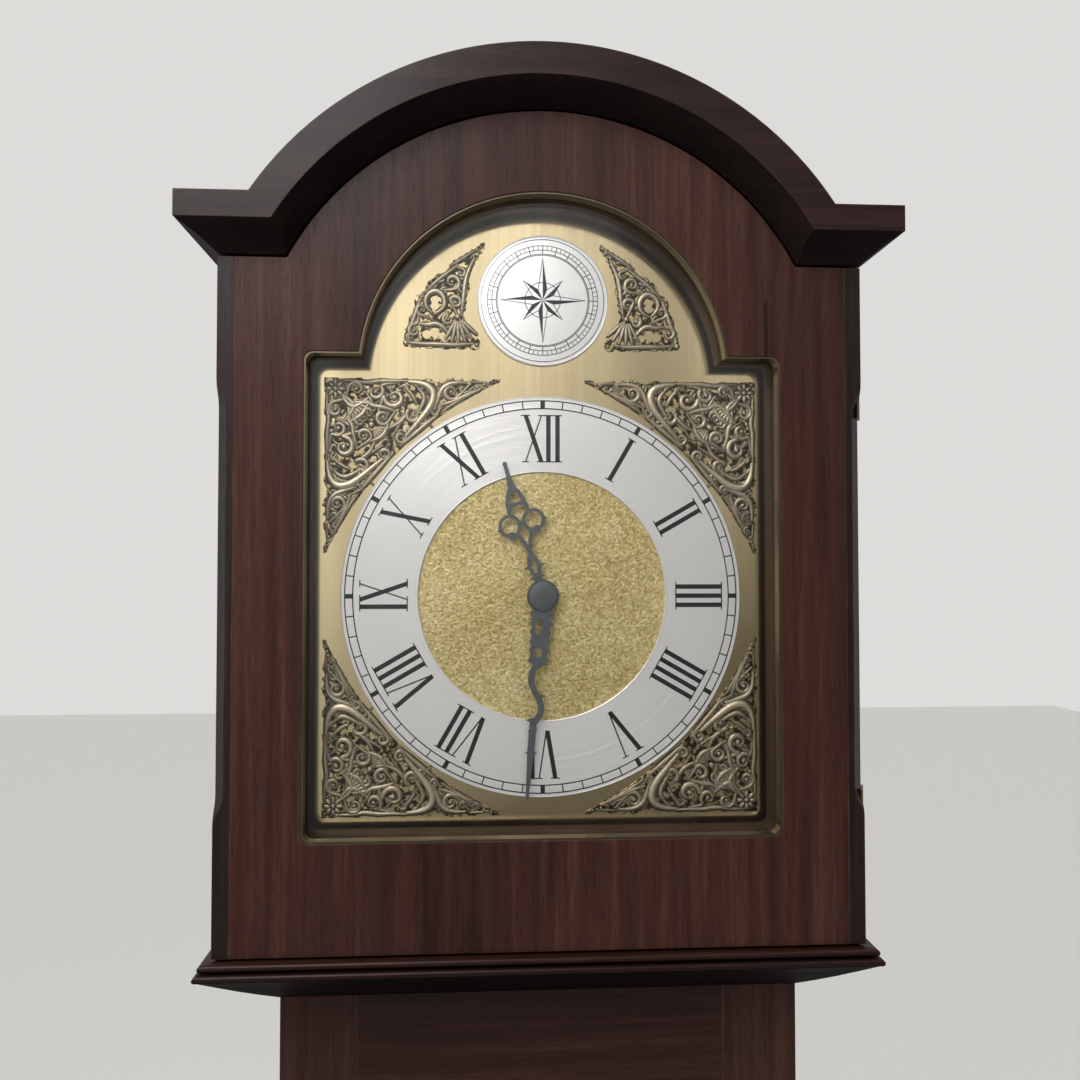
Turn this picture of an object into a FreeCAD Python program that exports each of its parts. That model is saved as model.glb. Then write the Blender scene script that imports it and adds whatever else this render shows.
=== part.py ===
import FreeCAD, Part

import math
import os

# A break-arch grandmother clock: a narrow longcase with a brass dial, a chain-wound
# weight movement and a pendulum that beats seconds. Each sub-part is written to its own file.
#
# Frame: X to the viewer's right, Y to the back, Z up. The origin lies on the floor under
# the middle of the clock's overall box. Lengths are in millimetres, angles in degrees.
# Sizes that end in _above or _below are counted from the dial's centre.

# Shares that several pieces use: where a shallow dome's arc passes half way out, and how far
# a fielded panel's slope runs on past its window
dome_half_way_share = 0.75
panel_slope_share = 0.5

# Clearances
overrun = 2.0
joint_gap = 0.3
shaft_clearance = 0.05
door_gap = 1.4

# Case as a whole; the hole in the backboard takes the screw that holds the clock to a wall
hood_depth = 200.0
plinth_height = 380.0
trunk_length = 880.0
backboard_thickness = 6.0
wall_screw_radius = 2.5
wall_screw_above = 170.0

# Hood, read against the dial's centre
hood_half_width = 165.7
hood_side_thickness = 12.0
ear_soffit_above = 173.8
hood_foot_below = 180.1
roof_thickness = 6.0
roof_step = 5.0

# Crown moulding
crown_projection = 17.0
crown_arch_centre_above = 102.8
crown_arch_radius = 149.8
crown_arch_cove = 9.5
crown_arch_fascia = 16.3
crown_ear_cove = 12.7
crown_ear_fascia = 13.2
crown_cove_sagitta = 0.6

# Moulding between hood and trunk: two beads over a low swell that runs in to the trunk
neck_moulding_height = 31.9
bead_projection = 7.6
bead_height = 4.2
bead_groove = 1.2
neck_step = 4.0
neck_swell_sagitta = 2.2

# Hood door
hood_door_thickness = 12.0
lipping_width = 8.5
lipping_chamfer = 5.0
chamfer_top_above = 95.5
chamfer_foot_below = 98.0
chamfer_stop_length = 16.0
chamfer_stop_sweep_share = 0.125
opening_half_width = 122.5
opening_foot_below = 123.1
opening_shoulder_above = 125.1
opening_arch_radius = 95.6
opening_arch_centre_above = 113.8
opening_corner_radius = 4.5
door_back_bevel = 2.5
slip_thickness = 1.0
slip_depth = 6.4
slip_setback = 0.6
glass_thickness = 3.0
glass_lap = 4.0

# Trunk
trunk_half_width = 137.8
trunk_setback = 28.5
trunk_side_thickness = 12.0
trunk_frame_thickness = 18.0
trunk_stile_width = 40.0
trunk_rail_height = 70.0
trunk_foot_depth = 60.0

# Trunk door
trunk_door_thickness = 14.0
trunk_door_lap = 8.0
trunk_door_edge_radius = 5.0
trunk_panel_margin = 34.0
trunk_panel_depth = 2.5
trunk_panel_slope = 10.0

# Trunk door catch
catch_height_share = 0.56
catch_edge_distance = 16.0
catch_shaft_radius = 3.0
catch_rose_radius = 9.0
catch_rose_thickness = 1.6
catch_knob_radius = 7.5
catch_knob_neck_radius = 4.0
catch_knob_length = 17.0
catch_knob_crown_share = 0.25
catch_knob_widest_share = 0.75
catch_tongue_length = 34.0
catch_tongue_width = 11.0
catch_tongue_thickness = 2.5

# Plinth
plinth_half_width = 165.0
plinth_setback = 8.0
plinth_wall_thickness = 12.0
plinth_floor_height = 60.0
plinth_panel_inset = 30.0
plinth_panel_depth = 1.6
plinth_panel_slope = 6.0
skirting_height = 92.0
skirting_thickness = 9.0
skirting_top_step = 3.0
skirting_ovolo = 9.0
skirting_ovolo_sagitta = 2.25
plinth_moulding_height = 30.0
plinth_moulding_step = 4.0
plinth_moulding_fillet = 8.0
plinth_moulding_sagitta = 5.0
plinth_moulding_lap = 5.0

# Butt hinges
hinge_length = 50.0
hinge_leaf_width = 10.0
hinge_leaf_thickness = 1.2
knuckle_radius = 2.6
hinge_pin_radius = 1.1
knuckle_count = 5
hood_hinge_end_distance = 55.0
trunk_hinge_end_distance = 90.0

# Mask behind the hood door
mask_setback = 1.0
mask_margin = 1.0

# Dial
dial_setback = 22.0
dial_thickness = 1.6
dial_margin = 2.5
dial_foot_radius = 3.0
dial_foot_across = 52.0
dial_foot_up = 60.0
dial_hole_radius = 6.0
centre_radius = 66.3
centre_thickness = 0.6
chapter_outer_radius = 106.5
chapter_inner_radius = 66.5
chapter_thickness = 1.5
chapter_edge = 0.5
boss_radius = 35.2
boss_above = 158.3
boss_thickness = 1.6
boss_dome = 1.0

# Corner ornament: a cast plate with a scalloped edge; an eye is a hole, given by its distances
# along one edge and in from it, counted from the corner, and its radius
spandrel_corner = 115.7
spandrel_leg = 93.0
spandrel_thickness = 1.0
spandrel_ring_clearance = 2.0
spandrel_curve_radius = 193.0
spandrel_scallop_radius = 7.0
spandrel_scallop_depth_share = 0.25
spandrel_scallop_places_shares = (0.13, 0.26, 0.39, 0.52, 0.65, 0.78, 0.91)
spandrel_eyes = (
    (24.0, 15.0, 2.0), (35.5, 16.0, 1.9), (46.5, 15.0, 1.9), (57.0, 12.0, 1.8), (64.0, 10.5, 1.4),
    (43.0, 26.0, 1.7), (22.5, 4.6, 1.2), (76.0, 7.4, 1.1), (21.0, 21.0, 1.4), (36.0, 8.6, 1.1))

# Pair beside the boss: a lobe or an eye is (across, above, radius)
arch_spandrel_lobes = (
    (69.0, 137.5, 5.0), (60.5, 137.0, 5.0), (51.5, 136.7, 5.0), (43.5, 136.6, 4.8),
    (36.6, 134.8, 3.3), (65.5, 147.0, 6.0), (56.0, 146.0, 7.0), (47.0, 146.0, 6.0),
    (62.5, 156.5, 6.0), (53.5, 156.0, 7.0), (46.5, 156.0, 5.5), (57.0, 165.0, 5.0),
    (49.5, 166.0, 5.5), (43.5, 165.5, 4.6), (48.0, 172.5, 3.6), (42.5, 173.8, 4.0),
    (39.5, 178.7, 3.1), (36.6, 182.4, 2.5), (34.2, 185.4, 2.0), (32.3, 187.7, 1.5))
arch_spandrel_eyes = (
    (57.6, 158.5, 2.4), (57.6, 155.0, 2.4), (61.8, 139.6, 2.5), (57.6, 140.8, 2.9),
    (53.4, 138.8, 2.2), (64.2, 151.0, 1.3), (47.0, 151.0, 1.5), (47.4, 138.6, 1.3),
    (49.5, 167.5, 1.3), (66.3, 142.4, 1.2))

# Hands, at half past eleven and a little more
minute_hand_angle = -184.65
hour_hand_angle = 16.2
hand_thickness = 1.0
hour_hand_setback = 17.0
minute_hand_setback = 14.4
hour_hand_length = 74.0
hour_hub_radius = 8.5
minute_hand_length = 106.4
minute_hub_radius = 7.6
hand_nut_radius = 4.2
hand_nut_height = 1.5

# Pierced outline of the hour hand, as shares of its length; lines are (along, across), blades
# (along, half width) and thorns (along, across of the root, across of the point, half width)
hour_bar_share = 0.027
hour_stem_bar_share = 0.052
hour_tip_ball_share = 0.017
hour_head_shares = ((0.77, 0.044), (0.81, 0.028), (0.907, 0.0155), (0.985, 0.0125))
hour_leg_shares = (
    (0.81, 0.014), (0.775, 0.034), (0.735, 0.05), (0.69, 0.062), (0.655, 0.066), (0.62, 0.07))
hour_crossbar_up_share = 0.685
hour_crossbar_ball_across_share = 0.036
hour_crossbar_ball_share = 0.018
hour_ring_up_share = 0.545
hour_ring_across_share = 0.089
hour_ring_radius_share = 0.082
hour_ring_hole_share = 0.059
hour_bridge_radius_share = 0.019
hour_ball_up_share = 0.474
hour_ball_across_share = 0.093
hour_ball_radius_share = 0.029
hour_fork_shares = ((0.32, 0.0), (0.35, 0.006), (0.389, 0.0174), (0.43, 0.032), (0.47, 0.05))
hour_loop_shares = (
    (0.32, 0.0), (0.29, 0.018), (0.26, 0.029), (0.23, 0.034), (0.2, 0.03), (0.17, 0.018),
    (0.145, 0.0))
hour_collar_up_share = 0.141
hour_thorn_shares = (
    (0.535, 0.089, 0.188, 0.062), (0.222, 0.026, 0.084, 0.02), (0.141, 0.0, 0.064, 0.021))

# Pierced outline of the minute hand, as shares of its length, in the same forms; scallops
# lie along both edges of the stem, and a hole is (along, across, radius, half length between
# its round ends)
minute_stem_shares = ((0.0, 0.056), (0.07, 0.051), (0.14, 0.045), (0.3, 0.04), (0.35, 0.02))
minute_scallop_shares = (
    (0.09, 0.044), (0.135, 0.04), (0.18, 0.037), (0.225, 0.036), (0.27, 0.035), (0.315, 0.034))
minute_scallop_radius_share = 0.0145
minute_stem_hole_shares = ((0.152, 0.0106, 0.0165, 0.02), (0.28, 0.0045, 0.0226, 0.003))
minute_curve_shares = (
    (0.33, 0.008), (0.356, 0.016), (0.383, 0.026), (0.4115, 0.0275), (0.446, 0.018),
    (0.475, 0.001), (0.504, -0.0185), (0.534, -0.031), (0.559, -0.034), (0.584, -0.029),
    (0.609, -0.015), (0.63, 0.0))
minute_curve_half_width_share = 0.0152
minute_thorn_shares = (
    (0.325, 0.0, 0.055, 0.018), (0.332, 0.0, -0.053, 0.018), (0.49, -0.002, -0.052, 0.016),
    (0.613, 0.0, 0.037, 0.016), (0.65, 0.0, -0.026, 0.01), (0.772, 0.0, 0.029, 0.012),
    (0.772, 0.0, -0.031, 0.012))
minute_pointer_shares = ((0.61, 0.012), (0.63, 0.0175), (0.76, 0.0175), (0.87, 0.012), (1.0, 0.007))

# Movement plates and where the arbors run
seatboard_thickness = 18.0
seatboard_below = 82.0
seatboard_setback = 34.0
seatboard_depth = 78.0
plate_half_width = 55.0
plate_top_above = 74.0
plate_thickness = 2.0
front_plate_setback = 36.0
back_plate_setback = 93.0
pillar_radius = 4.0
pillar_across = 47.0
pillar_up_above = 62.0
pillar_down_below = 70.0
arbor_radius = 1.5
pivot_radius = 1.0
pallet_hole_radius = 3.0
wheel_thickness = 2.0
wheel_hub_radius = 5.0
rim_share = 0.84
spoke_width = 3.4
spoke_count = 4
pinion_length = 7.0

# Going train
great_teeth = 84
great_module = 0.8
centre_pinion_leaves = 7
centre_teeth = 60
centre_module = 0.7
third_pinion_leaves = 8
third_teeth = 64
third_module = 0.6
escape_pinion_leaves = 8
escape_teeth = 30
escape_radius = 17.0
escape_tooth_share = 0.6
escape_tip_share = 0.14
escape_rim_share = 0.7
third_arbor_angle = 60.0
great_setback = 70.0
centre_wheel_setback = 50.0
third_wheel_setback = 58.0
escape_setback = 66.0
wheel_tooth_share = 0.44
wheel_tip_share = 0.16
leaf_share = 0.3
leaf_tip_share = 0.14
addendum_share = 0.82
dedendum_share = 1.3

# Motion work behind the dial
cannon_leaves = 12
minute_wheel_teeth = 36
minute_pinion_leaves = 10
hour_wheel_teeth = 40
motion_distance = 19.2
motion_angle = -35.0
motion_setback = 33.6
motion_wheel_thickness = 1.6
hour_wheel_setback = 29.6
cannon_radius = 2.6
hour_pipe_radius = 4.0

# Escapement and crutch
pallet_above = 62.6
pallet_drop_clearance = 1.0
pallet_span_angle = 45.0
pallet_arm_width = 3.4
pallet_nib_length = 4.6
crutch_setback = 102.0
crutch_thickness = 2.0
crutch_width = 3.0
crutch_length = 74.0
crutch_fork_height = 6.0
cock_half_width = 16.0
cock_leg_width = 4.0
cock_leg_height = 22.0
cock_setback = 109.0
cock_thickness = 3.0

# Pendulum
pendulum_setback = 122.0
pendulum_length = 994.0
spring_length = 20.0
spring_thickness = 0.3
spring_width = 8.0
chops_half_width = 4.0
chops_height = 9.0
pendulum_block_height = 10.0
pendulum_rod_radius = 2.5
bob_radius = 58.0
bob_edge = 5.0
bob_thickness = 24.0
rod_below_bob = 26.0
rating_nut_radius = 9.0
rating_nut_height = 8.0

# Chain, weight and ring
sprocket_radius = 14.0
sprocket_setback = 78.0
sprocket_width = 8.0
chain_radius = 1.9
sprocket_flange_height = 4.0
sprocket_flange_thickness = 1.5
weight_radius = 23.0
weight_length = 165.0
weight_dome = 6.0
weight_drop = 372.0
weight_neck_radius = 2.6
weight_hook_length = 16.0
ring_drop = 700.0
ring_radius = 9.0
ring_wire_radius = 1.5
chain_hole_radius = 5.5

# Levels and planes worked out from the sizes above
overall_depth = crown_projection + hood_depth
face_y = crown_projection - overall_depth / 2
rear_y = overall_depth / 2
backboard_y = rear_y - backboard_thickness
trunk_y = face_y + trunk_setback
plinth_y = face_y + plinth_setback
trunk_top_z = plinth_height + trunk_length
hood_foot_z = trunk_top_z + neck_moulding_height
dial_z = hood_foot_z + hood_foot_below
ear_soffit_z = dial_z + ear_soffit_above
ear_top_z = ear_soffit_z + crown_ear_cove + crown_ear_fascia
crown_centre_z = dial_z + crown_arch_centre_above
crown_outer_radius = crown_arch_radius + crown_arch_cove + crown_arch_fascia
hood_door_rear_y = face_y + hood_door_thickness
dial_y = face_y + dial_setback
front_plate_y = face_y + front_plate_setback
back_plate_y = face_y + back_plate_setback
seat_z = dial_z - seatboard_below

# Trunk opening, hinge axes and catch worked out from the sizes above
trunk_opening_half_width = trunk_half_width - trunk_stile_width
trunk_opening_foot_z = plinth_height + trunk_rail_height
trunk_opening_top_z = trunk_top_z - trunk_rail_height
hood_axis_x = hood_half_width + knuckle_radius - hinge_leaf_thickness
hood_axis_y = hood_door_rear_y
trunk_door_half_width = trunk_opening_half_width + trunk_door_lap
trunk_axis_x = trunk_door_half_width + knuckle_radius + joint_gap
trunk_axis_y = trunk_y - knuckle_radius - joint_gap
catch_x = -trunk_door_half_width + catch_edge_distance
catch_z = trunk_opening_foot_z + (trunk_opening_top_z - trunk_opening_foot_z) * catch_height_share

# Quarter turns that bring the corner ornament to each corner (across, up)
quarter_turns = {(1, 1): 0, (1, -1): 1, (-1, -1): 2, (-1, 1): 3}

# Train, motion work, pendulum and chain places worked out from the sizes above
hour_wheel_y = face_y + hour_wheel_setback
great_distance = great_module * (great_teeth + centre_pinion_leaves) / 2
third_distance = centre_module * (centre_teeth + third_pinion_leaves) / 2
escape_distance = third_module * (third_teeth + escape_pinion_leaves) / 2
great_z = dial_z - great_distance
third_x = third_distance * math.cos(math.radians(third_arbor_angle))
third_z = dial_z + third_distance * math.sin(math.radians(third_arbor_angle))
escape_z = third_z + math.sqrt(escape_distance ** 2 - third_x ** 2)
pallet_z = dial_z + pallet_above
minute_x = motion_distance * math.cos(math.radians(motion_angle))
minute_z = dial_z + motion_distance * math.sin(math.radians(motion_angle))
arbor_places = ((0, great_z), (third_x, third_z), (0, escape_z), (0, pallet_z))
bob_z = pallet_z - pendulum_length
weight_x = -sprocket_radius
weight_y = face_y + sprocket_setback
weight_hook_z = great_z - weight_drop
ring_z = great_z - ring_drop


def at(x, y, z):
    return FreeCAD.Vector(x, y, z)


def box(x0, x1, y0, y1, z0, z1):
    return Part.makeBox(x1 - x0, y1 - y0, z1 - z0, at(x0, y0, z0))


def rod_y(x, z, radius, y0, y1):
    return Part.makeCylinder(radius, y1 - y0, at(x, y0, z), at(0, 1, 0))


def rod_z(x, y, radius, z0, z1):
    return Part.makeCylinder(radius, z1 - z0, at(x, y, z0), at(0, 0, 1))


def rod_x(y, z, radius, x0, x1):
    return Part.makeCylinder(radius, x1 - x0, at(x0, y, z), at(1, 0, 0))


def join(*shapes):
    whole = shapes[0].fuse(list(shapes[1:]))
    return whole.removeSplitter()


def closed_wire(steps):
    # A step is a point, or a pair of (point on an arc, the arc's end).
    edges = []
    here = steps[0]
    for step in list(steps[1:]) + [steps[0]]:
        if isinstance(step, tuple):
            edges.append(Part.Arc(here, step[0], step[1]).toShape())
            here = step[1]
        elif (step - here).Length > 0:
            edges.append(Part.makeLine(here, step))
            here = step
    return Part.Wire(edges)


def extruded(steps, direction):
    return Part.Face(closed_wire(steps)).extrude(direction)


def sagged(start, end, sagitta):
    # The middle of an arc that bulges by sagitta to the left of start-to-end, in a plane.
    across = (end[0] - start[0], end[1] - start[1])
    length = math.hypot(across[0], across[1])
    middle = ((start[0] + end[0]) / 2, (start[1] + end[1]) / 2)
    return (middle[0] - across[1] / length * sagitta, middle[1] + across[0] / length * sagitta)


def arch_half_width(radius, centre_z, level_z):
    return math.sqrt(radius ** 2 - (level_z - centre_z) ** 2)


def break_arch(half_width, foot_z, shoulder_z, radius, centre_z, y, corner=0):
    # A square-shouldered outline with a round arch on top, in the plane at y.
    springing = arch_half_width(radius, centre_z, shoulder_z)
    apex = at(0, y, centre_z + radius)
    if not corner:
        return closed_wire([
            at(-half_width, y, foot_z), at(-half_width, y, shoulder_z),
            at(-springing, y, shoulder_z), (apex, at(springing, y, shoulder_z)),
            at(half_width, y, shoulder_z), at(half_width, y, foot_z)])
    bow = corner * (1 - math.sqrt(0.5))
    left, right = -half_width, half_width
    return closed_wire([
        at(left, y, foot_z + corner), at(left, y, shoulder_z - corner),
        (at(left + bow, y, shoulder_z - bow), at(left + corner, y, shoulder_z)),
        at(-springing, y, shoulder_z), (apex, at(springing, y, shoulder_z)),
        at(right - corner, y, shoulder_z),
        (at(right - bow, y, shoulder_z - bow), at(right, y, shoulder_z - corner)),
        at(right, y, foot_z + corner),
        (at(right - bow, y, foot_z + bow), at(right - corner, y, foot_z)),
        at(left + corner, y, foot_z),
        (at(left + bow, y, foot_z + bow), at(left, y, foot_z + corner))])


def opening_wire(grow, y):
    return break_arch(
        opening_half_width + grow, dial_z - opening_foot_below - grow,
        dial_z + opening_shoulder_above + grow, opening_arch_radius + grow,
        dial_z + opening_arch_centre_above, y, opening_corner_radius)


def opening_slab(grow, y0, y1):
    return Part.Face(opening_wire(grow, y0)).extrude(at(0, y1 - y0, 0))


def moulding(half_width, front_y, back_y, outline):
    # A mitred moulding round the front and both sides; outline steps are (out, z) pairs.
    path = Part.makePolygon([
        at(-half_width, back_y, 0), at(-half_width, front_y, 0),
        at(half_width, front_y, 0), at(half_width, back_y, 0)])

    def placed(step):
        return at(-half_width - step[0], back_y, step[1])

    steps = []
    for step in outline:
        if isinstance(step[0], tuple):
            steps.append((placed(step[0]), placed(step[1])))
        else:
            steps.append(placed(step))
    return path.makePipeShell([closed_wire(steps)], True, False, 1)


def hollowed(outer, window, slope, depth, face):
    # The sunk margin of a fielded panel, which slopes up to the field at the window.
    x0, x1, z0, z1 = outer
    sunk = box(x0, x1, face - overrun, face + depth, z0, z1)
    wires = []
    for y, grow in ((face + depth, slope * panel_slope_share), (face, 0)):
        a, b, c, d = window[0] - grow, window[1] + grow, window[2] - grow, window[3] + grow
        wires.append(closed_wire([at(a, y, c), at(a, y, d), at(b, y, d), at(b, y, c)]))
    field = Part.makeLoft(wires, True, True)
    lifted = box(window[0], window[1], face - overrun, face, window[2], window[3])
    return sunk.cut(field).cut(lifted)


def toothed_wire(count, root, tip, root_angle, tip_angle, x, y, z, turn):
    steps = []
    pitch = 2 * math.pi / count
    for index in range(count):
        middle = math.radians(turn) + index * pitch
        for angle, radius in (
                (middle - root_angle, root), (middle - tip_angle, tip),
                (middle + tip_angle, tip), (middle + root_angle, root)):
            steps.append(at(x + radius * math.sin(angle), y, z + radius * math.cos(angle)))
    return closed_wire(steps)


def gear(count, module, x, z, y, thickness, turn, pinion=False):
    pitch_radius = module * count / 2
    half_pitch = math.pi / count
    tooth = leaf_share if pinion else wheel_tooth_share
    tip = leaf_tip_share if pinion else wheel_tip_share
    wire = toothed_wire(
        count, pitch_radius - module * dedendum_share, pitch_radius + module * addendum_share,
        half_pitch * tooth, half_pitch * tip, x, y, z, turn)
    return Part.Face(wire).extrude(at(0, thickness, 0))


def crossed_out(disc, x, z, y, thickness, rim_radius):
    # The windows between the spokes, cut through a wheel.
    window = rod_y(x, z, rim_radius, y - overrun, y + thickness + overrun)
    window = window.cut(rod_y(x, z, wheel_hub_radius, y - overrun, y + thickness + overrun))
    for index in range(spoke_count):
        spoke = box(
            -spoke_width / 2, spoke_width / 2, y - overrun, y + thickness + overrun,
            0, rim_radius + overrun)
        spoke.rotate(at(0, y, 0), at(0, 1, 0), index * 360 / spoke_count)
        spoke.translate(at(x, 0, z))
        window = window.cut(spoke)
    return disc.cut(window)


def backboard():
    foot = [
        at(-plinth_half_width, backboard_y, 0), at(-plinth_half_width, backboard_y, plinth_height),
        at(-trunk_half_width, backboard_y, plinth_height),
        at(-trunk_half_width, backboard_y, hood_foot_z)]
    foot += [at(-hood_half_width, backboard_y, hood_foot_z)]
    top_z = ear_top_z - roof_step
    radius = crown_outer_radius - roof_step
    springing = arch_half_width(radius, crown_centre_z, top_z)
    head = [
        at(-hood_half_width, backboard_y, top_z), at(-springing, backboard_y, top_z),
        (at(0, backboard_y, crown_centre_z + radius), at(springing, backboard_y, top_z)),
        at(hood_half_width, backboard_y, top_z)]
    mirrored = [at(-point.x, point.y, point.z) for point in reversed(foot)]
    board = extruded(foot + head + mirrored, at(0, backboard_thickness, 0))
    return board.cut(rod_y(
        0, dial_z + wall_screw_above, wall_screw_radius, backboard_y - overrun,
        rear_y + overrun))


def plinth_front():
    board = box(
        -plinth_half_width, plinth_half_width, plinth_y, plinth_y + plinth_wall_thickness,
        0, plinth_height)
    low = skirting_height + plinth_panel_inset
    high = plinth_height - plinth_panel_inset
    side = plinth_half_width - plinth_panel_inset
    window = (
        -side + plinth_panel_slope, side - plinth_panel_slope,
        low + plinth_panel_slope, high - plinth_panel_slope)
    return board.cut(hollowed(
        (-side, side, low, high), window, plinth_panel_slope, plinth_panel_depth, plinth_y))


def plinth_side(side):
    outer = side * plinth_half_width
    inner = side * (plinth_half_width - plinth_wall_thickness)
    return box(
        min(outer, inner), max(outer, inner), plinth_y + plinth_wall_thickness, backboard_y,
        0, plinth_height)


def plinth_floor():
    inner = plinth_half_width - plinth_wall_thickness
    return box(
        -inner, inner, plinth_y + plinth_wall_thickness, backboard_y,
        plinth_floor_height, plinth_floor_height + plinth_wall_thickness)


def skirting():
    top = skirting_height
    neck = top - skirting_ovolo
    start = (skirting_thickness - skirting_top_step, neck)
    end = (0, top)
    return moulding(plinth_half_width, plinth_y, rear_y, [
        (0, 0), (skirting_thickness, 0), (skirting_thickness, neck), start,
        (sagged(end, start, skirting_ovolo_sagitta), end)])


def plinth_moulding():
    # A cove that steps in from the plinth to the trunk.
    low = plinth_height
    top = plinth_height + plinth_moulding_height
    reach = plinth_half_width - trunk_half_width
    outer = reach + plinth_moulding_lap
    start = (reach, low + plinth_moulding_fillet)
    end = (plinth_moulding_step, top - plinth_moulding_step)
    return moulding(trunk_half_width, trunk_y, backboard_y, [
        (0, low), (outer, low), (outer, low + plinth_moulding_step),
        (reach, low + plinth_moulding_step), start,
        (sagged(end, start, -plinth_moulding_sagitta), end),
        (plinth_moulding_step, top), (0, top)])


def trunk_side(side):
    outer = side * trunk_half_width
    inner = side * (trunk_half_width - trunk_side_thickness)
    return box(
        min(outer, inner), max(outer, inner), trunk_y + trunk_frame_thickness, backboard_y,
        plinth_height - trunk_foot_depth, seat_z - seatboard_thickness)


def trunk_stile(side):
    outer = side * trunk_half_width
    inner = side * (trunk_half_width - trunk_stile_width)
    return box(
        min(outer, inner), max(outer, inner), trunk_y, trunk_y + trunk_frame_thickness,
        plinth_height - trunk_foot_depth, hood_foot_z)


def trunk_rail(low_z, high_z):
    return box(
        -trunk_opening_half_width, trunk_opening_half_width, trunk_y,
        trunk_y + trunk_frame_thickness, low_z, high_z)


def neck_moulding():
    # Two beads under the hood, then a swell that runs in to the trunk.
    reach = hood_half_width - trunk_half_width
    bead_x = reach + bead_projection
    top = hood_foot_z
    bow = bead_height / 2
    first = top - bead_height
    second = first - bead_groove
    third = second - bead_height
    inner = bead_x - bow
    start = (inner, third)
    end = (neck_step, trunk_top_z + neck_step)
    return moulding(trunk_half_width, trunk_y, backboard_y, [
        (0, top), (inner, top), ((bead_x, top - bow), (inner, first)),
        (inner - bead_groove, first), (inner - bead_groove, second), (inner, second),
        ((bead_x, second - bow), start), (sagged(start, end, neck_swell_sagitta), end),
        (neck_step, trunk_top_z), (0, trunk_top_z)])


def hood_side(side):
    outer = side * hood_half_width
    inner = side * (hood_half_width - hood_side_thickness)
    board = box(
        min(outer, inner), max(outer, inner), hood_door_rear_y, backboard_y,
        hood_foot_z, ear_top_z - roof_step - roof_thickness)
    if side > 0:
        for z in hood_hinge_heights():
            board = board.cut(hood_hinge_pocket(z))
    return board


def hood_roof():
    ear_z = ear_top_z - roof_step
    radius = crown_outer_radius - roof_step
    y0 = hood_door_rear_y
    outer = break_arch(
        hood_half_width, ear_z - roof_thickness, ear_z, radius, crown_centre_z, y0)
    solid = Part.Face(outer).extrude(at(0, backboard_y - y0, 0))
    inner = rod_y(0, crown_centre_z, radius - roof_thickness, y0 - overrun, backboard_y + overrun)
    return solid.cut(inner)


def crown():
    z0 = ear_soffit_z
    z1 = z0 + crown_ear_cove
    ears = moulding(hood_half_width, face_y, rear_y, [
        (0, z0), (sagged((0, z0), (crown_projection, z1), crown_cove_sagitta),
                  (crown_projection, z1)),
        (crown_projection, ear_top_z), (0, ear_top_z)])
    front_y = face_y - crown_projection
    band = box(
        -hood_half_width, hood_half_width, face_y, hood_door_rear_y, z0, ear_top_z)
    disc = rod_y(0, crown_centre_z, crown_outer_radius, front_y, hood_door_rear_y)
    above = box(
        -hood_half_width, hood_half_width, front_y, hood_door_rear_y,
        z1, crown_centre_z + crown_outer_radius + overrun)
    start = (crown_arch_radius, face_y)
    end = (crown_arch_radius + crown_arch_cove, front_y)
    middle = sagged(end, start, crown_cove_sagitta)
    hollow = Part.Face(closed_wire([
        at(0, front_y - overrun, 0), at(end[0], front_y - overrun, 0), at(end[0], end[1], 0),
        (at(middle[0], middle[1], 0), at(start[0], start[1], 0)),
        at(start[0], hood_door_rear_y + overrun, 0), at(0, hood_door_rear_y + overrun, 0)]))
    hollow = hollow.revolve(at(0, 0, 0), at(0, 1, 0), 360)
    hollow.translate(at(0, 0, crown_centre_z))
    return join(ears, band, disc.common(above)).cut(hollow)


def door_outline(y, bevel, inset):
    return break_arch(
        hood_half_width - inset, hood_foot_z + door_gap, ear_soffit_z - door_gap,
        crown_arch_radius - door_gap - bevel, crown_centre_z, y)


def hood_door():
    inset = lipping_width
    body = Part.makeLoft([
        door_outline(face_y, 0, inset), door_outline(hood_door_rear_y, door_back_bevel, inset)],
        True, True)
    body = body.cut(opening_slab(0, face_y - overrun, hood_door_rear_y + overrun))
    rebate_y = face_y + slip_setback + slip_depth
    return body.cut(opening_slab(glass_lap, rebate_y, hood_door_rear_y + overrun))


def hood_lipping(side):
    outer = side * hood_half_width
    inner = side * (hood_half_width - lipping_width)
    strip = box(
        min(outer, inner), max(outer, inner), face_y, hood_door_rear_y,
        hood_foot_z + door_gap, ear_soffit_z - door_gap)
    strip = strip.cut(chamfer_cut(side))
    if side > 0:
        for z in hood_hinge_heights():
            strip = strip.cut(hood_hinge_pocket(z))
    return strip


def chamfer_cut(side):
    # The stopped chamfer: a prism across the corner whose ends curve out of the wood.
    depth = lipping_chamfer / math.sqrt(2)
    high = dial_z + chamfer_top_above
    low = dial_z - chamfer_foot_below
    reach = depth + overrun
    half = chamfer_stop_length / 2
    diagonal = at(-side * math.sqrt(0.5), math.sqrt(0.5), 0)
    corner = at(side * hood_half_width, face_y, 0)
    along = at(side * math.sqrt(0.5), math.sqrt(0.5), 0)

    def point(inward, z):
        return corner + diagonal * inward + at(0, 0, z) - along * reach

    sweep = depth * chamfer_stop_sweep_share
    steps = [
        point(-overrun, low - chamfer_stop_length), point(0, low - chamfer_stop_length),
        (point(sweep, low - half - half / 2), point(depth / 2, low - half)),
        (point(depth - sweep, low - half / 2), point(depth, low)), point(depth, high),
        (point(depth - sweep, high + half / 2), point(depth / 2, high + half)),
        (point(sweep, high + half + half / 2), point(0, high + chamfer_stop_length)),
        point(-overrun, high + chamfer_stop_length)]
    return extruded(steps, along * (reach + reach))


def hood_slip():
    y0 = face_y + slip_setback
    ring = opening_slab(0, y0, y0 + slip_depth)
    return ring.cut(opening_slab(-slip_thickness, y0 - overrun, y0 + slip_depth + overrun))


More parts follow.
